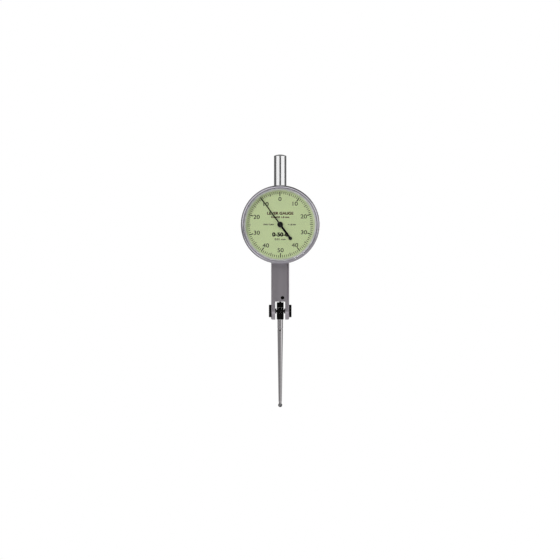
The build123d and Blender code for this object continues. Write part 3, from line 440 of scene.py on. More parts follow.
def turned(outline, place, facets, closed):
    """Mesh of an outline turned about an axis; an open outline starts and ends on the axis."""
    mesh = bmesh.new()
    angles = [2 * pi * index / facets for index in range(facets)]
    rings = []
    for radius, along in rounded(outline, closed):
        if radius < ON_AXIS:
            rings.append([mesh.verts.new(place(0, along, 0))] * facets)
        else:
            rings.append([mesh.verts.new(place(radius, along, angle)) for angle in angles])
    bridge_rings(mesh, rings, closed)
    return mesh


def bridge_rings(mesh, rings, closed):
    """Faces between each ring of corners and the next; a pole is a ring of one corner."""
    facets = len(rings[0])
    following = rings[1:] + rings[:1] if closed else rings[1:]
    for low, high in zip(rings, following):
        for index in range(facets):
            after = (index + 1) % facets
            corners = dict.fromkeys((low[index], low[after], high[after], high[index]))
            if len(corners) > 2:
                mesh.faces.new(corners)
    bmesh.ops.recalc_face_normals(mesh, faces=mesh.faces)


def outer_edges(mesh):
    """Edges that stand out clearly."""
    return [e for e in mesh.edges if e.is_manifold and e.is_convex and e.calc_face_angle() > EASED_ANGLE]


def bevel(mesh, edges, size, segments, finish):
    """Edges of a mesh cut back by a size in millimetres, with a finish given by its number."""
    bmesh.ops.bevel(
        mesh,
        geom=edges,
        offset=size * MM,
        offset_type="OFFSET",
        segments=segments,
        profile=0.5,
        affect="EDGES",
        clamp_overlap=True,
        material=finish,
    )


def packed_copy(node):
    """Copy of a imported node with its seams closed."""
    mesh = bmesh.new()
    mesh.from_mesh(frame["nodes"][node].data)
    bmesh.ops.remove_doubles(mesh, verts=mesh.verts, dist=WELD * MM)
    bmesh.ops.dissolve_limit(mesh, angle_limit=FLAT, verts=mesh.verts, edges=mesh.edges)
    return mesh


def show(name, data):
    """Object in the scene for a mesh, a curve, a lamp or a camera."""
    made = bpy.data.objects.new(name, data)
    bpy.context.scene.collection.objects.link(made)
    return made


def to_data(name, mesh):
    """Mesh data of a finished bmesh, smooth but for its sharp edges."""
    for face in mesh.faces:
        face.smooth = True
    for edge in mesh.edges:
        edge.smooth = edge.calc_face_angle(0) < SHARP
    data = bpy.data.meshes.new(name)
    mesh.to_mesh(data)
    mesh.free()
    return data


def baked(made):
    """Plain mesh of an object with its modifiers; the object is removed."""
    graph = bpy.context.evaluated_depsgraph_get()
    data = bpy.data.meshes.new_from_object(made.evaluated_get(graph))
    bpy.data.objects.remove(made)
    return data


def flattened(name, mesh):
    """Mesh data whose broad faces keep their own normal and whose eased edges blend into them."""
    made = show(name, to_data(name, mesh))
    weight = made.modifiers.new("normals", "WEIGHTED_NORMAL")
    weight.mode = "FACE_AREA"
    weight.weight = 100
    weight.keep_sharp = True
    return baked(made)


def fit(name, data, finishes, body, slot, *nodes):
    """Finished piece on its body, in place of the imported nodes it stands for."""
    if finishes:
        data.materials.clear()
    for finish in finishes:
        data.materials.append(finish)
    made = show(name, data)
    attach(made, body)
    if nodes:
        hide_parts(*nodes)


def fit_turned(name, mesh, finish, body, slot, node):
    """Turned piece of one finish."""
    fit(name, to_data(name, mesh), [finish], body, slot, node)


def fit_eased(name, node, ease, finishes, body, slot, edge_finish=FINISH_BESIDE):
    """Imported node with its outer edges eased."""
    mesh = packed_copy(node)
    bevel(mesh, outer_edges(mesh), ease, EASE_SEGMENTS, edge_finish)
    fit(name, flattened(name, mesh), finishes, body, slot, node)


def joined(meshes):
    """One mesh of several, each with its own finish."""
    whole = bmesh.new()
    finishes = []
    for data, finish in meshes:
        if finish not in finishes:
            finishes.append(finish)
        first = len(whole.faces)
        whole.from_mesh(data)
        whole.faces.ensure_lookup_table()
        for face in whole.faces[first:]:
            face.material_index = finishes.index(finish)
    made = bpy.data.meshes.new("joined")
    whole.to_mesh(made)
    whole.free()
    for finish in finishes:
        made.materials.append(finish)
    return made


def dome_fall(radius, edge_radius, height):
    """Fall of a domed end, from its middle to a radius, for the height of the whole dome."""
    sphere = (edge_radius**2 + height**2) / (2 * height)
    return sphere - sqrt(sphere**2 - radius**2)


def face_rings(radius, along):
    """Points of a flat round face from near its edge to its middle, close enough to shade evenly."""
    return [(radius * step / FACE_RINGS, along, 0) for step in range(FACE_RINGS - 1, -1, -1)]


def slot_cutter(size, matrix):
    """Block that cuts a straight slot."""
    cutter = bmesh.new()
    bmesh.ops.create_cube(cutter, size=1.0)
    bmesh.ops.scale(cutter, vec=size, verts=cutter.verts)
    cutter.transform(matrix)
    return cutter


def cut_from(mesh, name, cutter, finish, inside):
    """Mesh data with a slot or a hole cut into it, whose walls have the finish given as inside, which may be a
    dark one painted in as shade.
    """
    piece = show(name, to_data(name, mesh))
    piece.data.materials.append(finish)
    tool = show("cutter", to_data("cutter", cutter))
    tool.data.materials.append(inside)
    cut = piece.modifiers.new("cut", "BOOLEAN")
    cut.operation = "DIFFERENCE"
    cut.object = tool
    cut.solver = "EXACT"
    cut.material_mode = "TRANSFER"
    data = baked(piece)
    bpy.data.objects.remove(tool)
    clean = bmesh.new()
    clean.from_mesh(data)
    made = to_data(name, clean)
    for material in data.materials:
        made.materials.append(material)
    return made


# Bezel, crystal, spacer, dial and case


def flute_fall(angle, grip):
    """Depth of the fluted grip below its lands at an angle round the bezel."""
    pitch = 2 * pi / FLUTES
    across = ((angle + pitch / 2) % pitch - pitch / 2) * grip
    above = FLUTE_RADIUS - FLUTE_DEPTH
    if abs(across) >= sqrt(FLUTE_RADIUS**2 - above**2):
        return 0.0
    return sqrt(FLUTE_RADIUS**2 - across**2) - above


def make_bezel():
    """Chromed ring: rounded front rim, fluted grip behind it."""
    low, high = reach("bezel")
    radius, front, back = high.x, low.y, high.y
    grip = radius - GRIP_STEP
    opening = radius - BEZEL_RIM
    bore = radius - BEZEL_WALL
    rim_back = front + RIM_DEPTH
    lip_back = front + BEZEL_LIP
    retainer_low, retainer_high = reach("dial_retainer")
    room = WIRE_ROOM_BEZEL
    groove = bore + RETAINER_ROOM
    outline = [
        (bore, back, 0),
        (grip, back, EDGE),
        (grip, rim_back, 0),
        (radius, rim_back, EDGE),
    ]
    for step in range(BEZEL_EDGE_STEPS + 1):
        angle = pi / 2 * step / BEZEL_EDGE_STEPS
        outline.append((radius - BEZEL_EDGE * (1 - cos(angle)), front + BEZEL_EDGE * (1 - sin(angle)), 0))
    outline += [
        (opening, front, BEZEL_INNER_EDGE),
        (opening, lip_back, 0),
        (bore, lip_back, 0),
        (bore, retainer_low.y, 0),
        (groove, retainer_low.y, 0),
        (groove, retainer_high.y, 0),
        (bore, retainer_high.y, 0),
        (bore, WIRE_Y - room, 0),
        (bore + room, WIRE_Y - room, 0),
        (bore + room, WIRE_Y + room, 0),
        (bore, WIRE_Y + room, 0),
    ]
    facets = FLUTES * FLUTE_STEPS
    angles = [2 * pi * index / facets for index in range(facets)]
    falls = [flute_fall(angle, grip) for angle in angles]
    mesh = bmesh.new()
    rings = []
    for ring_radius, along in rounded(outline, True):
        fluted = grip - EDGE < ring_radius < grip + EDGE / 2 and along >= rim_back - EDGE / 2
        ring = []
        for angle, fall in zip(angles, falls):
            ring.append(mesh.verts.new(about_dial(ring_radius - fall * fluted, along, angle)))
        rings.append(ring)
    bridge_rings(mesh, rings, True)
    fit_turned("bezel_ring", mesh, ring_chrome, "bezel", "satin_chrome", "bezel")


def make_crystal():
    """Clear crystal with a flange under the bezel's lip and a bevelled front edge."""
    low, high = reach("crystal")
    flange = high.x
    radius = reach("bezel")[1].x - BEZEL_RIM - CRYSTAL_SEAT
    outline = [
        (0, high.y, 0),
        (flange, high.y, EDGE / 2),
        (flange, high.y - CRYSTAL_FLANGE, EDGE / 2),
        (radius, high.y - CRYSTAL_FLANGE, 0),
        (radius, low.y + CRYSTAL_BEVEL_DROP, EDGE),
        (radius - CRYSTAL_BEVEL, low.y, EDGE * 2),
        (0, low.y, 0),
    ]
    mesh = turned(outline, about_dial, SMOOTH_TURN, False)
    fit_turned("crystal_lens", mesh, crystal_clear, "bezel", "clear_crystal", "crystal")


def make_spacer():
    """Satin ring between the dial and the crystal, flared towards the reader."""
    low, high = reach("dial_spacer")
    inside = high.x - SPACER_WIDTH
    front = low.y + SPACER_GAP
    outline = [
        (inside, high.y, 0),
        (high.x, high.y, 0),
        (high.x, front, 0),
        (inside + SPACER_FLARE, front, EDGE / 2),
    ]
    mesh = turned(outline, about_dial, SMOOTH_TURN, True)
    fit_turned("spacer_ring", mesh, spacer_silver, "bezel", "spacer_silver", "dial_spacer")


def make_dial():
    """Painted dial disc with a rounded edge at its centre hole."""
    low, high = reach("dial_plate")
    outline = [
        (DIAL_HOLE, high.y, EDGE / 2),
        (high.x, high.y, EDGE / 2),
        (high.x, low.y, EDGE / 2),
        (DIAL_HOLE, low.y, EDGE / 2),
    ]
    mesh = turned(outline, about_dial, SMOOTH_TURN, True)
    fit_turned("dial_disc", mesh, dial_paint, "bezel", "dial_green", "dial_plate")


def make_case():
    """Turned tray behind the bezel."""
    low, high = reach("dial_case")
    radius, front, back = high.x, low.y, high.y
    room = WIRE_ROOM_CASE
    outline = [
        (CASE_HOLE, back, 0),
        (radius - CASE_CHAMFER, back, EDGE),
        (radius, back - CASE_CHAMFER, EDGE),
        (radius, WIRE_Y + room, 0),
        (radius - room, WIRE_Y + room, 0),
        (radius - room, WIRE_Y - room, 0),
        (radius, WIRE_Y - room, 0),
        (radius, front, EDGE),
        (radius - CASE_WALL, front, EDGE),
        (radius - CASE_WALL, back - CASE_FLOOR, 0),
        (CASE_HOLE, back - CASE_FLOOR, 0),
    ]
    mesh = turned(outline, about_dial, SMOOTH_TURN, True)
    fit_turned("case_tray", mesh, case_chrome, "body", "satin_chrome", "dial_case")


# Dial print


def make_marks_tree():
    """Geometry nodes for the ring of division marks: plain, every fifth and every tenth."""
    sizes = ("Outer Radius", "Plain Length", "Fifth Length", "Tenth Length", "Plain Width", "Fifth Width",
             "Tenth Width", "Height", "Turn")
    inputs = {"Geometry": "NodeSocketGeometry", "Divisions": "NodeSocketInt"}
    inputs.update({name: "NodeSocketFloat" for name in sizes})
    inputs["Ink"] = "NodeSocketMaterial"
    outputs = {"Geometry": "NodeSocketGeometry"}
    tree, given, result = start_group("division_marks", "GeometryNodeTree", inputs, outputs)
    index = add_node(tree, "GeometryNodeInputIndex").outputs[0]
    step = math_node(tree, "DIVIDE", 2 * pi, given["Divisions"])
    angle = math_node(tree, "MULTIPLY_ADD", index, step, given["Turn"])
    across = math_node(tree, "MULTIPLY", math_node(tree, "COSINE", angle), given["Outer Radius"])
    up = math_node(tree, "MULTIPLY", math_node(tree, "SINE", angle), given["Outer Radius"])
    place = add_node(tree, "ShaderNodeCombineXYZ", {0: across, 1: up})
    points = add_node(tree, "GeometryNodePoints", {"Count": given["Divisions"], "Position": place.outputs[0]})

    def chosen(plain, fifth, tenth):
        """Value for each mark by its number."""
        value = plain
        for every, special in ((5, fifth), (10, tenth)):
            remainder = math_node(tree, "MODULO", index, float(every))
            is_one = math_node(tree, "LESS_THAN", remainder, 0.5)
            choice = {0: is_one, 1: value, 2: special}
            value = add_node(tree, "GeometryNodeSwitch", choice, input_type="FLOAT").outputs[0]
        return value

    length = chosen(given["Plain Length"], given["Fifth Length"], given["Tenth Length"])
    width = chosen(given["Plain Width"], given["Fifth Width"], given["Tenth Width"])
    size = add_node(tree, "ShaderNodeCombineXYZ", {0: length, 1: width, 2: given["Height"]})
    bar = add_node(tree, "GeometryNodeMeshCube", {"Size": (1.0, 1.0, 1.0)})
    inward = add_node(
        tree, "GeometryNodeTransform", {"Geometry": bar.outputs["Mesh"], "Translation": (-0.5, 0.0, 0.5)}
    )
    euler = add_node(tree, "ShaderNodeCombineXYZ", {2: angle})
    turn = add_node(tree, "FunctionNodeEulerToRotation", {0: euler.outputs[0]})
    marks = add_node(
        tree,
        "GeometryNodeInstanceOnPoints",
        {
            "Points": points.outputs[0],
            "Instance": inward.outputs[0],
            "Rotation": turn.outputs[0],
            "Scale": size.outputs[0],
        },
    )
    real = add_node(tree, "GeometryNodeRealizeInstances", {0: marks.outputs[0]})
    inked = add_node(tree, "GeometryNodeSetMaterial", {"Geometry": real.outputs[0], "Material": given["Ink"]})
    tree.links.new(inked.outputs[0], result.inputs["Geometry"])
    return tree


def grown(name, tree, values):
    """Mesh that a geometry node tree makes with the values given."""
    seed = show(name, bpy.data.meshes.new(name))
    modifier = seed.modifiers.new(name, "NODES")
    modifier.node_group = tree
    for item in tree.interface.items_tree:
        if item.in_out == "INPUT" and item.name in values:
            modifier[item.identifier] = values[item.name]
    return baked(seed)


def thicken(data, amount):
    """Strokes of raised letters widened on every side by an amount in metres."""
    mesh = bmesh.new()
    mesh.from_mesh(data)
    bmesh.ops.remove_doubles(mesh, verts=mesh.verts, dist=PRINT_HEIGHT * MM / 10)
    shifts = []
    for corner in mesh.verts:
        walls = [face.normal for face in corner.link_faces if abs(face.normal.z) < 0.5]
        shifts.append(sum(walls, Vector()).normalized() * amount)
    for corner, shift in zip(mesh.verts, shifts):
        corner.co += shift
    mesh.to_mesh(data)
    mesh.free()


def make_words(words, size, weight):
    """Raised print of a word or number about its own middle, on the local XY plane."""
    curve = bpy.data.curves.new(words, "FONT")
    curve.body = words
    curve.size = size * MM
    curve.align_x = "CENTER"
    curve.extrude = PRINT_HEIGHT * MM / 2
    data = baked(show("words", curve))
    thicken(data, weight * size * MM)
    heights = [corner.co.y for corner in data.vertices]
    middle = (min(heights) + max(heights)) / 2
    data.transform(Matrix.Translation((0, -middle, PRINT_HEIGHT * MM / 2)))
    data.transform(Matrix.Diagonal((NUMERAL_WIDTH, 1, 1, 1)))
    return data


def make_print():
    """Divisions, numbers and plain words on the dial."""
    plain, fifth, tenth = MARK_LENGTHS
    plain_width, fifth_width, tenth_width = MARK_WIDTHS
    sizes = {
        "Outer Radius": MARK_OUTER,
        "Plain Length": plain,
        "Fifth Length": fifth,
        "Tenth Length": tenth,
        "Plain Width": plain_width,
        "Fifth Width": fifth_width,
        "Tenth Width": tenth_width,
        "Height": PRINT_HEIGHT,
    }
    values = {name: value * MM for name, value in sizes.items()}
    values.update({"Divisions": DIVISIONS, "Turn": pi / 2 + PRINT_TURN, "Ink": dial_ink})
    prints = [(grown("division_marks", make_marks_tree(), values), dial_ink)]
    across, up = NUMERAL_PLACE
    for place in range(NUMERALS):
        number = min(place, NUMERALS - place) * DIVISIONS // NUMERALS
        angle = pi / 2 + PRINT_TURN - place * 2 * pi / NUMERALS
        numeral = make_words(str(number), NUMERAL_SIZE, NUMERAL_WEIGHT)
        numeral.transform(Matrix.Translation(Vector((across * cos(angle), up * sin(angle), 0)) * MM))
        prints.append((numeral, dial_ink))
    for words, size, weight, right, above in LEGENDS:
        label = make_words(words, size, weight)
        label.transform(Matrix.Translation((right * MM, above * MM, 0)))
        prints.append((label, name_ink if above > 0 else dial_ink))
    data = joined(prints)
    face = Matrix.Translation((0, reach("dial_plate")[0].y * MM, dial_z * MM))
    data.transform(face @ Matrix.Rotation(pi / 2, 4, "X"))
    fit("dial_print", data, [], "bezel", "black_paint")


# Needle


def make_needle():
    """Needle with its counterweight tail, on a domed boss."""
    fit_eased("needle_blade", "needle", NEEDLE_EASE, [needle_black], "needle", "black_paint")
    low, high = reach("needle_boss")
    needle_low, needle_high = reach("needle")
    dome = needle_low.y - low.y
    outline = [(0, low.y, 0)]
    for step in range(1, CROWN_STEPS + 1):
        radius = BOSS_TUBE * step / CROWN_STEPS
        outline.append((radius, low.y + dome_fall(radius, BOSS_TUBE, dome), 0))
    outline += [
        (BOSS_TUBE, needle_high.y, 0),
        (BOSS_COLLAR, needle_high.y, EDGE / 2),
        (BOSS_COLLAR, high.y, EDGE / 2),
        (BOSS_BORE, high.y, 0),
        (BOSS_BORE, needle_low.y, 0),
        (0, needle_low.y, 0),
    ]
    mesh = turned(outline, about_dial, FINE_TURN, False)
    fit_turned("needle_cap", mesh, needle_black, "needle", "black_paint", "needle_boss")


# Stem, bar and cover


def make_stem():
    """Ground stem with a crowned end."""
    low, high = reach("stem")
    radius = high.x
    spigot = radius * STEM_SPIGOT
    outline = [(0, low.z, 0), (spigot, low.z, EDGE), (spigot, 0, 0), (radius, 0, EDGE)]
    outline.append((radius, high.z - STEM_CROWN, EDGE * 2))
    for step in range(CROWN_STEPS - 1, 0, -1):
        ring = radius * step / CROWN_STEPS
        outline.append((ring, high.z - dome_fall(ring, radius, STEM_CROWN), 0))
    outline.append((0, high.z, 0))
    mesh = turned(outline, about_stem, SMOOTH_TURN, False)
    fit_turned("stem_rod", mesh, stem_steel, "body", "ground_steel", "stem")


def make_bar():
    """Square bar with its fork, and the cover on its right side, whose chamfered joint edge is painted black as a
    painted shadow line.
    """
    fit_eased("bar_fork", "body_frame", BAR_EASE, [bar_chrome], "body", "satin_chrome")
    mesh = packed_copy("side_cover")
    edge_of_joint = (reach("side_cover")[0].x + WELD) * MM
    sides = [e for e in outer_edges(mesh) if e.calc_length() > COVER_SIDE * MM]
    joint = [e for e in sides if max(corner.co.x for corner in e.verts) < edge_of_joint]
    # The chamfer along the joint takes the cover's second finish, black: a painted shadow line between bar and
    # cover
    bevel(mesh, joint, JOINT_LINE, 1, FINISH_OF_EDGES)
    finishes = (bar_chrome, black_oxide)
    fit("bar_cover", flattened("bar_cover", mesh), finishes, "body", "satin_chrome", "side_cover")


# Screws


def make_screws_tree():
    """Geometry nodes for screws on a grid of two columns and two rows, each slot turned at random."""
    inputs = {
        "Geometry": "NodeSocketGeometry",
        "Screw": "NodeSocketObject",
        "Across": "NodeSocketFloat",
        "Up": "NodeSocketFloat",
        "Seed": "NodeSocketInt",
        "Finish": "NodeSocketMaterial",
        "Slot Shade Finish": "NodeSocketMaterial",
    }
    outputs = {"Geometry": "NodeSocketGeometry"}
    tree, given, result = start_group("screw_grid", "GeometryNodeTree", inputs, outputs)
    grid = add_node(
        tree,
        "GeometryNodeMeshGrid",
        {"Size X": given["Across"], "Size Y": given["Up"], "Vertices X": 2, "Vertices Y": 2},
    )
    screw = add_node(tree, "GeometryNodeObjectInfo", {"Object": given["Screw"]})
    turn = add_node(
        tree, "FunctionNodeRandomValue", {"Min": (0, 0, 0), "Max": (0, 0, pi), "Seed": given["Seed"]},
        data_type="FLOAT_VECTOR",
    )
    euler = add_node(tree, "FunctionNodeEulerToRotation", {0: turn.outputs[0]})
    placed = add_node(
        tree,
        "GeometryNodeInstanceOnPoints",
        {"Points": grid.outputs["Mesh"], "Instance": screw.outputs["Geometry"], "Rotation": euler.outputs[0]},
    )
    real = add_node(tree, "GeometryNodeRealizeInstances", {0: placed.outputs[0]})
    # The slot keeps its dark finish, which is painted shade; the rest of each screw gets the screw's finish
    in_slot = add_node(tree, "GeometryNodeMaterialSelection", {"Material": given["Slot Shade Finish"]})
    outside = add_node(tree, "FunctionNodeBooleanMath", {0: in_slot.outputs[0]}, operation="NOT")
    dressed = add_node(
        tree,
        "GeometryNodeSetMaterial",
        {"Geometry": real.outputs[0], "Selection": outside.outputs[0], "Material": given["Finish"]},
    )
    tree.links.new(dressed.outputs[0], result.inputs["Geometry"])
    return tree


def make_cover_screws():
    """Countersunk screws of the side cover, their heads level with it."""
    low, high = reach("side_cover_screws")
    depth = high.x - low.x
    outline = [
        (0, -depth, 0),
        (SCREW_SHANK, -depth, EDGE),
        (SCREW_SHANK, -SCREW_HEAD_HEIGHT, 0),
        (SCREW_HEAD, 0, EDGE / 2),
    ] + face_rings(SCREW_HEAD - EDGE, 0)
    mesh = turned(outline, about_stem, FINE_TURN, False)
    cutter = slot_cutter(Vector((3 * SCREW_HEAD, SCREW_SLOT, 2 * SCREW_SLOT_DEPTH)) * MM, Matrix.Identity(4))
    # The slot's walls get a dark finish as painted shade inside the slot
    screw = show("cover_screw", cut_from(mesh, "cover_screw", cutter, screw_steel, recess_shade_steel))
    values = {
        "Screw": screw,
        "Across": (high.y - low.y - 2 * SCREW_HEAD) * MM,
        "Up": (high.z - low.z - 2 * SCREW_HEAD) * MM,
        "Seed": SCREW_SEED,
        "Finish": screw_steel,
        "Slot Shade Finish": recess_shade_steel,
    }
    data = grown("cover_screws", make_screws_tree(), values)
    bpy.data.objects.remove(screw)
    middle = (low + high) / 2
    face = Matrix(((0, 0, 1, high.x * MM), (1, 0, 0, middle.y * MM), (0, 1, 0, middle.z * MM), (0, 0, 0, 1)))
    data.transform(face)
    fit("cover_screw_set", data, [], "body", "screw_steel", "side_cover_screws")


def make_pivot_screw(node, hand):
    """Blackened cone-pointed screw in one ear of the fork."""
    low, high = reach(node)
    tip, outside = (low.x, high.x) if hand > 0 else (high.x, low.x)
    seat = outside - hand * PIVOT_HEAD_HEIGHT
    ear = hand * FORK_HALF
    head = high.y
    hub_half = max(reach(moving)[1].x for moving in ("measuring_lever", "stylus_hub"))
    collar_end = hand * (hub_half + COLLAR_GAP)
    cone = PIVOT_SHANK * (collar_end - tip) / (ear - tip)
    outline = [
        (0, tip, 0),
        (cone, collar_end, 0),
        (PIVOT_COLLAR, collar_end, EDGE),
        (PIVOT_COLLAR, ear, 0),
        (PIVOT_SHANK, ear, 0),
        (PIVOT_SHANK, seat, 0),
        (head, seat, EDGE),
        (head, outside, PIVOT_HEAD_EDGE),
    ] + face_rings(head - 2 * PIVOT_HEAD_EDGE, outside)
    mesh = turned(outline, about_pivot, SMOOTH_TURN // 2, False)
    size = Vector((2 * PIVOT_SLOT_DEPTH, 3 * head, PIVOT_SLOT)) * MM
    middle = Matrix.Translation((outside * MM, 0, pivot_z * MM))
    cutter = slot_cutter(size, middle @ Matrix.Rotation(hand * PIVOT_SLOT_ANGLE, 4, "X"))
    data = cut_from(mesh, f"{node}_head", cutter, black_oxide, black_oxide)
    fit(f"{node}_head", data, [], "body", "black_oxide", node)


# Stylus and what carries it


def make_lever():
    """Blackened lever and clevis in the fork, and the stop screw in the bar's front."""
    finishes = (black_oxide, rubbed_oxide)
    for name, node, ease, body in (
        ("lever_arm", "measuring_lever", LEVER_EASE, "lever"),
        ("clevis_hub", "stylus_hub", HUB_EASE, "stylus"),
        ("stop_screw_head", "stop_screw", STOP_EASE, "body"),
    ):
        fit_eased(name, node, ease, finishes, body, "black_oxide", FINISH_OF_EDGES)


def make_holder():
    """Collar between the hub and the stylus, with a groove where they meet."""
    low, high = reach("stylus_holder")
    hub_end = reach("stylus_hub")[0].z
    outline = [
        (0, high.z, 0),
        (HOLDER_SPIGOT, high.z, EDGE),
        (HOLDER_SPIGOT, hub_end, 0),
        (HOLDER_RADIUS, hub_end, EDGE),
        (HOLDER_RADIUS, low.z + STYLUS_GROOVE, EDGE / 2),
        (HOLDER_RADIUS - STYLUS_GROOVE, low.z, EDGE / 4),
        (0, low.z, 0),
    ]
    mesh = turned(outline, about_stem, FINE_TURN, False)
    fit_turned("stylus_collar", mesh, stylus_steel, "stylus", "ground_steel", "stylus_holder")


def ball_place():
    """Height of the ball's centre, and its radius."""
    low, high = reach("contact_ball")
    return (low.z + high.z) / 2, (high.z - low.z) / 2


def make_stylus():
    """Tapered stylus with a spanner hole near its top and a neck above the ball."""
    joint = reach("stylus_holder")[0].z
    ball_z, ball_radius = ball_place()
    seat = ball_z + sqrt(ball_radius**2 - NECK_RADIUS**2)
    neck = seat + NECK_LENGTH
    outline = [
        (0, joint, 0),
        (STYLUS_TOP - STYLUS_GROOVE, joint, EDGE / 4),
        (STYLUS_TOP, joint - STYLUS_GROOVE, EDGE / 2),
        (STYLUS_END, neck, EDGE),
        (NECK_RADIUS, neck - 2 * (STYLUS_END - NECK_RADIUS), EDGE),
        (NECK_RADIUS, seat, 0),
        (0, seat, 0),
    ]
    mesh = turned(outline, about_stem, FINE_TURN, False)
    cutter = bmesh.new()
    bmesh.ops.create_cone(
        cutter,
        cap_ends=True,
        segments=FINE_TURN // 2,
        radius1=SPANNER_HOLE / 2 * MM,
        radius2=SPANNER_HOLE / 2 * MM,
        depth=2 * SPANNER_DEPTH * MM,
    )
    spot = Matrix.Translation((0, -STYLUS_TOP * MM, (joint - SPANNER_DROP) * MM))
    cutter.transform(spot @ Matrix.Rotation(pi / 2, 4, "X"))
    # The spanner hole's walls get a dark finish as painted shade inside the hole
    data = cut_from(mesh, "stylus_rod", cutter, stylus_steel, recess_shade_steel)
    fit("stylus_rod", data, [], "stylus", "ground_steel", "stylus")


def make_ball():
    """Lapped ball at the stylus's end."""
    middle, radius = ball_place()
    outline = [(0, middle + radius, 0)]
    for step in range(1, BALL_STEPS):
        angle = pi / 2 - pi * step / BALL_STEPS
        outline.append((radius * cos(angle), middle + radius * sin(angle), 0))
    outline.append((0, middle - radius, 0))
    mesh = turned(outline, about_stem, FINE_TURN, False)
    fit_turned("ball_tip", mesh, ball_carbide, "stylus", "ball_carbide", "contact_ball")


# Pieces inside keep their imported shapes


def dress_inner_pieces():
    """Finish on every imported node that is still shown."""
    slots = {part["node"]: part["material_slot"] for part in frame["record"]["subparts"]}
    for name, node in frame["nodes"].items():
        if not node.hide_render:
            for slot in node.material_slots:
                slot.material = SLOT_FINISHES[slots[name]]


# Studio
FLOOR_Z = -240.0
FLOOR_HALF = 1200.0
FLOOR_LEVEL = 0.9
FLOOR_LIFT = 0.3  # light of its own that only the eye sees
FLOOR_GLOSS = 0.1
CARD_RANGE = 1500.0
CARD_STEP = 10  # degrees for each facet of a curved card
FRONT_CARD_TOP = 350.0
SPLIT_Z = -58.0  # cards below it belong to the stylus
LOW_CARD_BOTTOM = -400.0
# Upright cards: angles to the right of the camera's side of the object in degrees, bottom, top, level
CARDS = (
    ("front_card", -15, 15, SPLIT_Z, FRONT_CARD_TOP, 0.06),
    ("low_card", 72, 397, LOW_CARD_BOTTOM, SPLIT_Z, 0.28),
)
HOOD_RANGE = 1800.0
HOOD_END = 179  # degrees from the camera's axis
HOOD_TURN = radians(5)
HOOD_STEPS = 12
HOOD_FACETS = 36
# Hoods: angles about the camera's axis from the right upwards, and of the front edge from that axis, level
HOODS = (
    ("dark_hood", -20, 240, 82, 0.12),
    ("pale_hood", 240, 340, 25, 0.5),
    ("top_hood", 35, 105, 60, 0.1),
)
AMBIENT = 0.92  # share of the surroundings that lights matt surfaces
LIGHT_SIDE = (-0.3, -0.65, 0.7)
DIM_SIDE = 0.45
LIT_SIDE = 1.25
LAMP_PLACE = (-420, -760, 620)
LAMP_SIZE = 420
LAMP_POWER = 6.0


def floor_material(name):
    """Matt white with a faint paper grain, lifted for the eye until it is nearly white."""
    material, tree, shader = begin_material(name)
    add_grain(
        tree,
        shader,
        drawn_coordinates(tree, EVEN),
        tone=(FLOOR_LEVEL, FLOOR_LEVEL, FLOOR_LEVEL),
        roughness=0.9,
        grain=4.0,
        tone_change=0.02,
        roughness_change=0.05,
        height=0,
    )
    shader.inputs["Specular IOR Level"].default_value = FLOOR_GLOSS
    shader.inputs["Emission Color"].default_value = (1, 1, 1, 1)
    seen = add_node(tree, "ShaderNodeLightPath").outputs["Is Camera Ray"]
    tree.links.new(math_node(tree, "MULTIPLY", seen, FLOOR_LIFT), shader.inputs["Emission Strength"])
    return material


def card_material(name, level):
    """Card of one even level, whatever the lamps do."""
    material, _, shader = begin_material(name)
    shader.inputs["Base Color"].default_value = (0, 0, 0, 1)
    shader.inputs["Specular IOR Level"].default_value = 0
    shader.inputs["Emission Color"].default_value = (level, level, level, 1)
    shader.inputs["Emission Strength"].default_value = 1.0
    return material


def stage_piece(name, mesh, material):
    """Piece of the studio, in millimetres."""
    mesh.transform(Matrix.Scale(MM, 4))
    data = bpy.data.meshes.new(name)
    mesh.to_mesh(data)
    mesh.free()
    data.materials.append(material)
    piece = show(name, data)
    return piece


def reflected_card(name, mesh, level):
    """Card that is seen only in reflections and through the crystal."""
    card = stage_piece(name, mesh, card_material(name, level))
    card.visible_camera = False
    card.visible_diffuse = False
    card.visible_shadow = False


def make_card(name, from_angle, to_angle, low, high, level):
    """Curved upright card between two angles."""
    count = ceil((to_angle - from_angle) / CARD_STEP)
    mesh = bmesh.new()
    edges = []
    for step in range(count + 1):
        angle = radians(from_angle + (to_angle - from_angle) * step / count)
        x, y = CARD_RANGE * sin(angle), -CARD_RANGE * cos(angle)
        edges.append((mesh.verts.new((x, y, low)), mesh.verts.new((x, y, high))))
    for here, there in zip(edges, edges[1:]):
        mesh.faces.new((here[0], there[0], there[1], here[1]))
    reflected_card(name, mesh, level)


def make_hood(name, from_angle, to_angle, edge, level):
    """Part of a round hood behind the object, between two angles about the camera's axis."""
    mesh = bmesh.new()
    rows = []
    for step in range(HOOD_STEPS + 1):
        tilt = radians(edge + (HOOD_END - edge) * step / HOOD_STEPS)
        row = []
        for facet in range(HOOD_FACETS + 1):
            angle = radians(from_angle + (to_angle - from_angle) * facet / HOOD_FACETS)
            away = HOOD_RANGE * sin(tilt)
            place = (away * cos(angle), -HOOD_RANGE * cos(tilt), dial_z + away * sin(angle))
            row.append(mesh.verts.new(place))
        rows.append(row)
    for low, high in zip(rows, rows[1:]):
        for facet in range(HOOD_FACETS):
            mesh.faces.new((low[facet], low[facet + 1], high[facet + 1], high[facet]))
    mesh.transform(Matrix.Rotation(HOOD_TURN, 4, "Z"))
    reflected_card(name, mesh, level)


def make_stage():
    """Pale floor below, and cards that draw the edges of the polished pieces."""
    floor = bmesh.new()
    bmesh.ops.create_grid(floor, x_segments=1, y_segments=1, size=FLOOR_HALF)
    floor.transform(Matrix.Translation((0, 0, FLOOR_Z)))
    stage_piece("floor", floor, floor_material("floor_white")).visible_glossy = False
    for hood in HOODS:
        make_hood(*hood)
    for card in CARDS:
        make_card(*card)


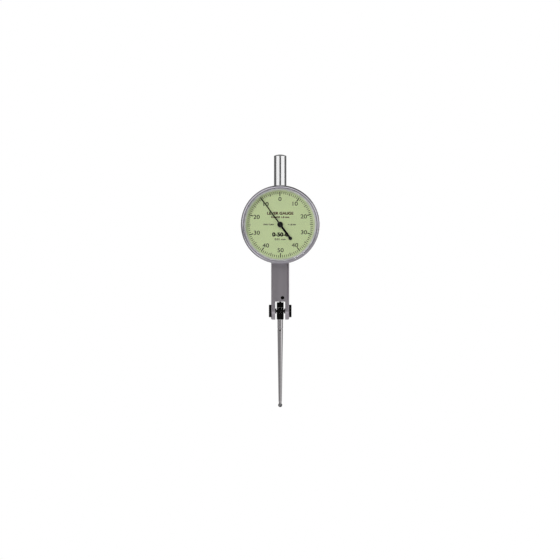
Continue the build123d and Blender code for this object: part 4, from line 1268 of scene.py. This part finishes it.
def make_world():
    """White surroundings, plain to the eye and in reflections, that light matt faces from the upper left."""
    world = bpy.data.worlds.new("studio")
    bpy.context.scene.world = world
    world.use_nodes = True
    tree = world.node_tree
    background = tree.nodes["Background"]
    background.inputs["Color"].default_value = (1, 1, 1, 1)
    path = add_node(tree, "ShaderNodeLightPath").outputs
    way = add_node(tree, "ShaderNodeTexCoord").outputs["Generated"]
    towards = add_node(tree, "ShaderNodeVectorMath", {0: way, 1: LIGHT_SIDE}, operation="DOT_PRODUCT")
    ends = {1: -1.0, 2: 1.0, 3: DIM_SIDE * AMBIENT, 4: LIT_SIDE * AMBIENT}
    light = add_node(tree, "ShaderNodeMapRange", {0: towards.outputs["Value"], **ends})
    seen = path["Is Camera Ray"]
    for kind in ("Is Glossy Ray", "Is Transmission Ray"):
        seen = math_node(tree, "MAXIMUM", seen, path[kind])
    strength = math_node(tree, "MULTIPLY_ADD", math_node(tree, "SUBTRACT", 1.0, seen), light.outputs[0], seen)
    tree.links.new(strength, background.inputs["Strength"])


def make_lamp():
    """Round soft lamp aimed at the middle of the object."""
    data = bpy.data.lights.new("key_lamp", "AREA")
    data.shape = "DISK"
    data.size = LAMP_SIZE * MM
    data.energy = LAMP_POWER
    lamp = show("key_lamp", data)
    lamp.location = Vector(LAMP_PLACE) * MM
    target = Vector((0, 0, FRAME_CENTRE_Z)) * MM
    lamp.rotation_euler = (target - lamp.location).to_track_quat("-Z", "Y").to_euler()
    lamp.visible_camera = False
    lamp.visible_glossy = False


def make_camera():
    """Long lens straight in front of the dial."""
    data = bpy.data.cameras.new("camera")
    data.sensor_width = SENSOR_WIDTH
    data.lens = SENSOR_WIDTH * CAMERA_DISTANCE / FRAME_WIDTH
    data.clip_start = CLIP_NEAR * MM
    data.clip_end = CLIP_FAR * MM
    camera = show("camera", data)
    bar_front = reach("body_frame")[0].y
    camera.location = Vector((FRAME_CENTRE_X, bar_front - CAMERA_DISTANCE, FRAME_CENTRE_Z)) * MM
    camera.rotation_euler = (pi / 2, 0, 0)
    bpy.context.scene.camera = camera


make_bezel()
make_crystal()
make_spacer()
make_dial()
make_case()
make_print()
make_needle()
make_stem()
make_bar()
make_cover_screws()
make_pivot_screw("pivot_screw_left", -1)
make_pivot_screw("pivot_screw_right", 1)
make_lever()
make_holder()
make_stylus()
make_ball()
dress_inner_pieces()

make_stage()
make_world()
make_lamp()
make_camera()
bpy.context.scene.view_settings.view_transform = "Standard"
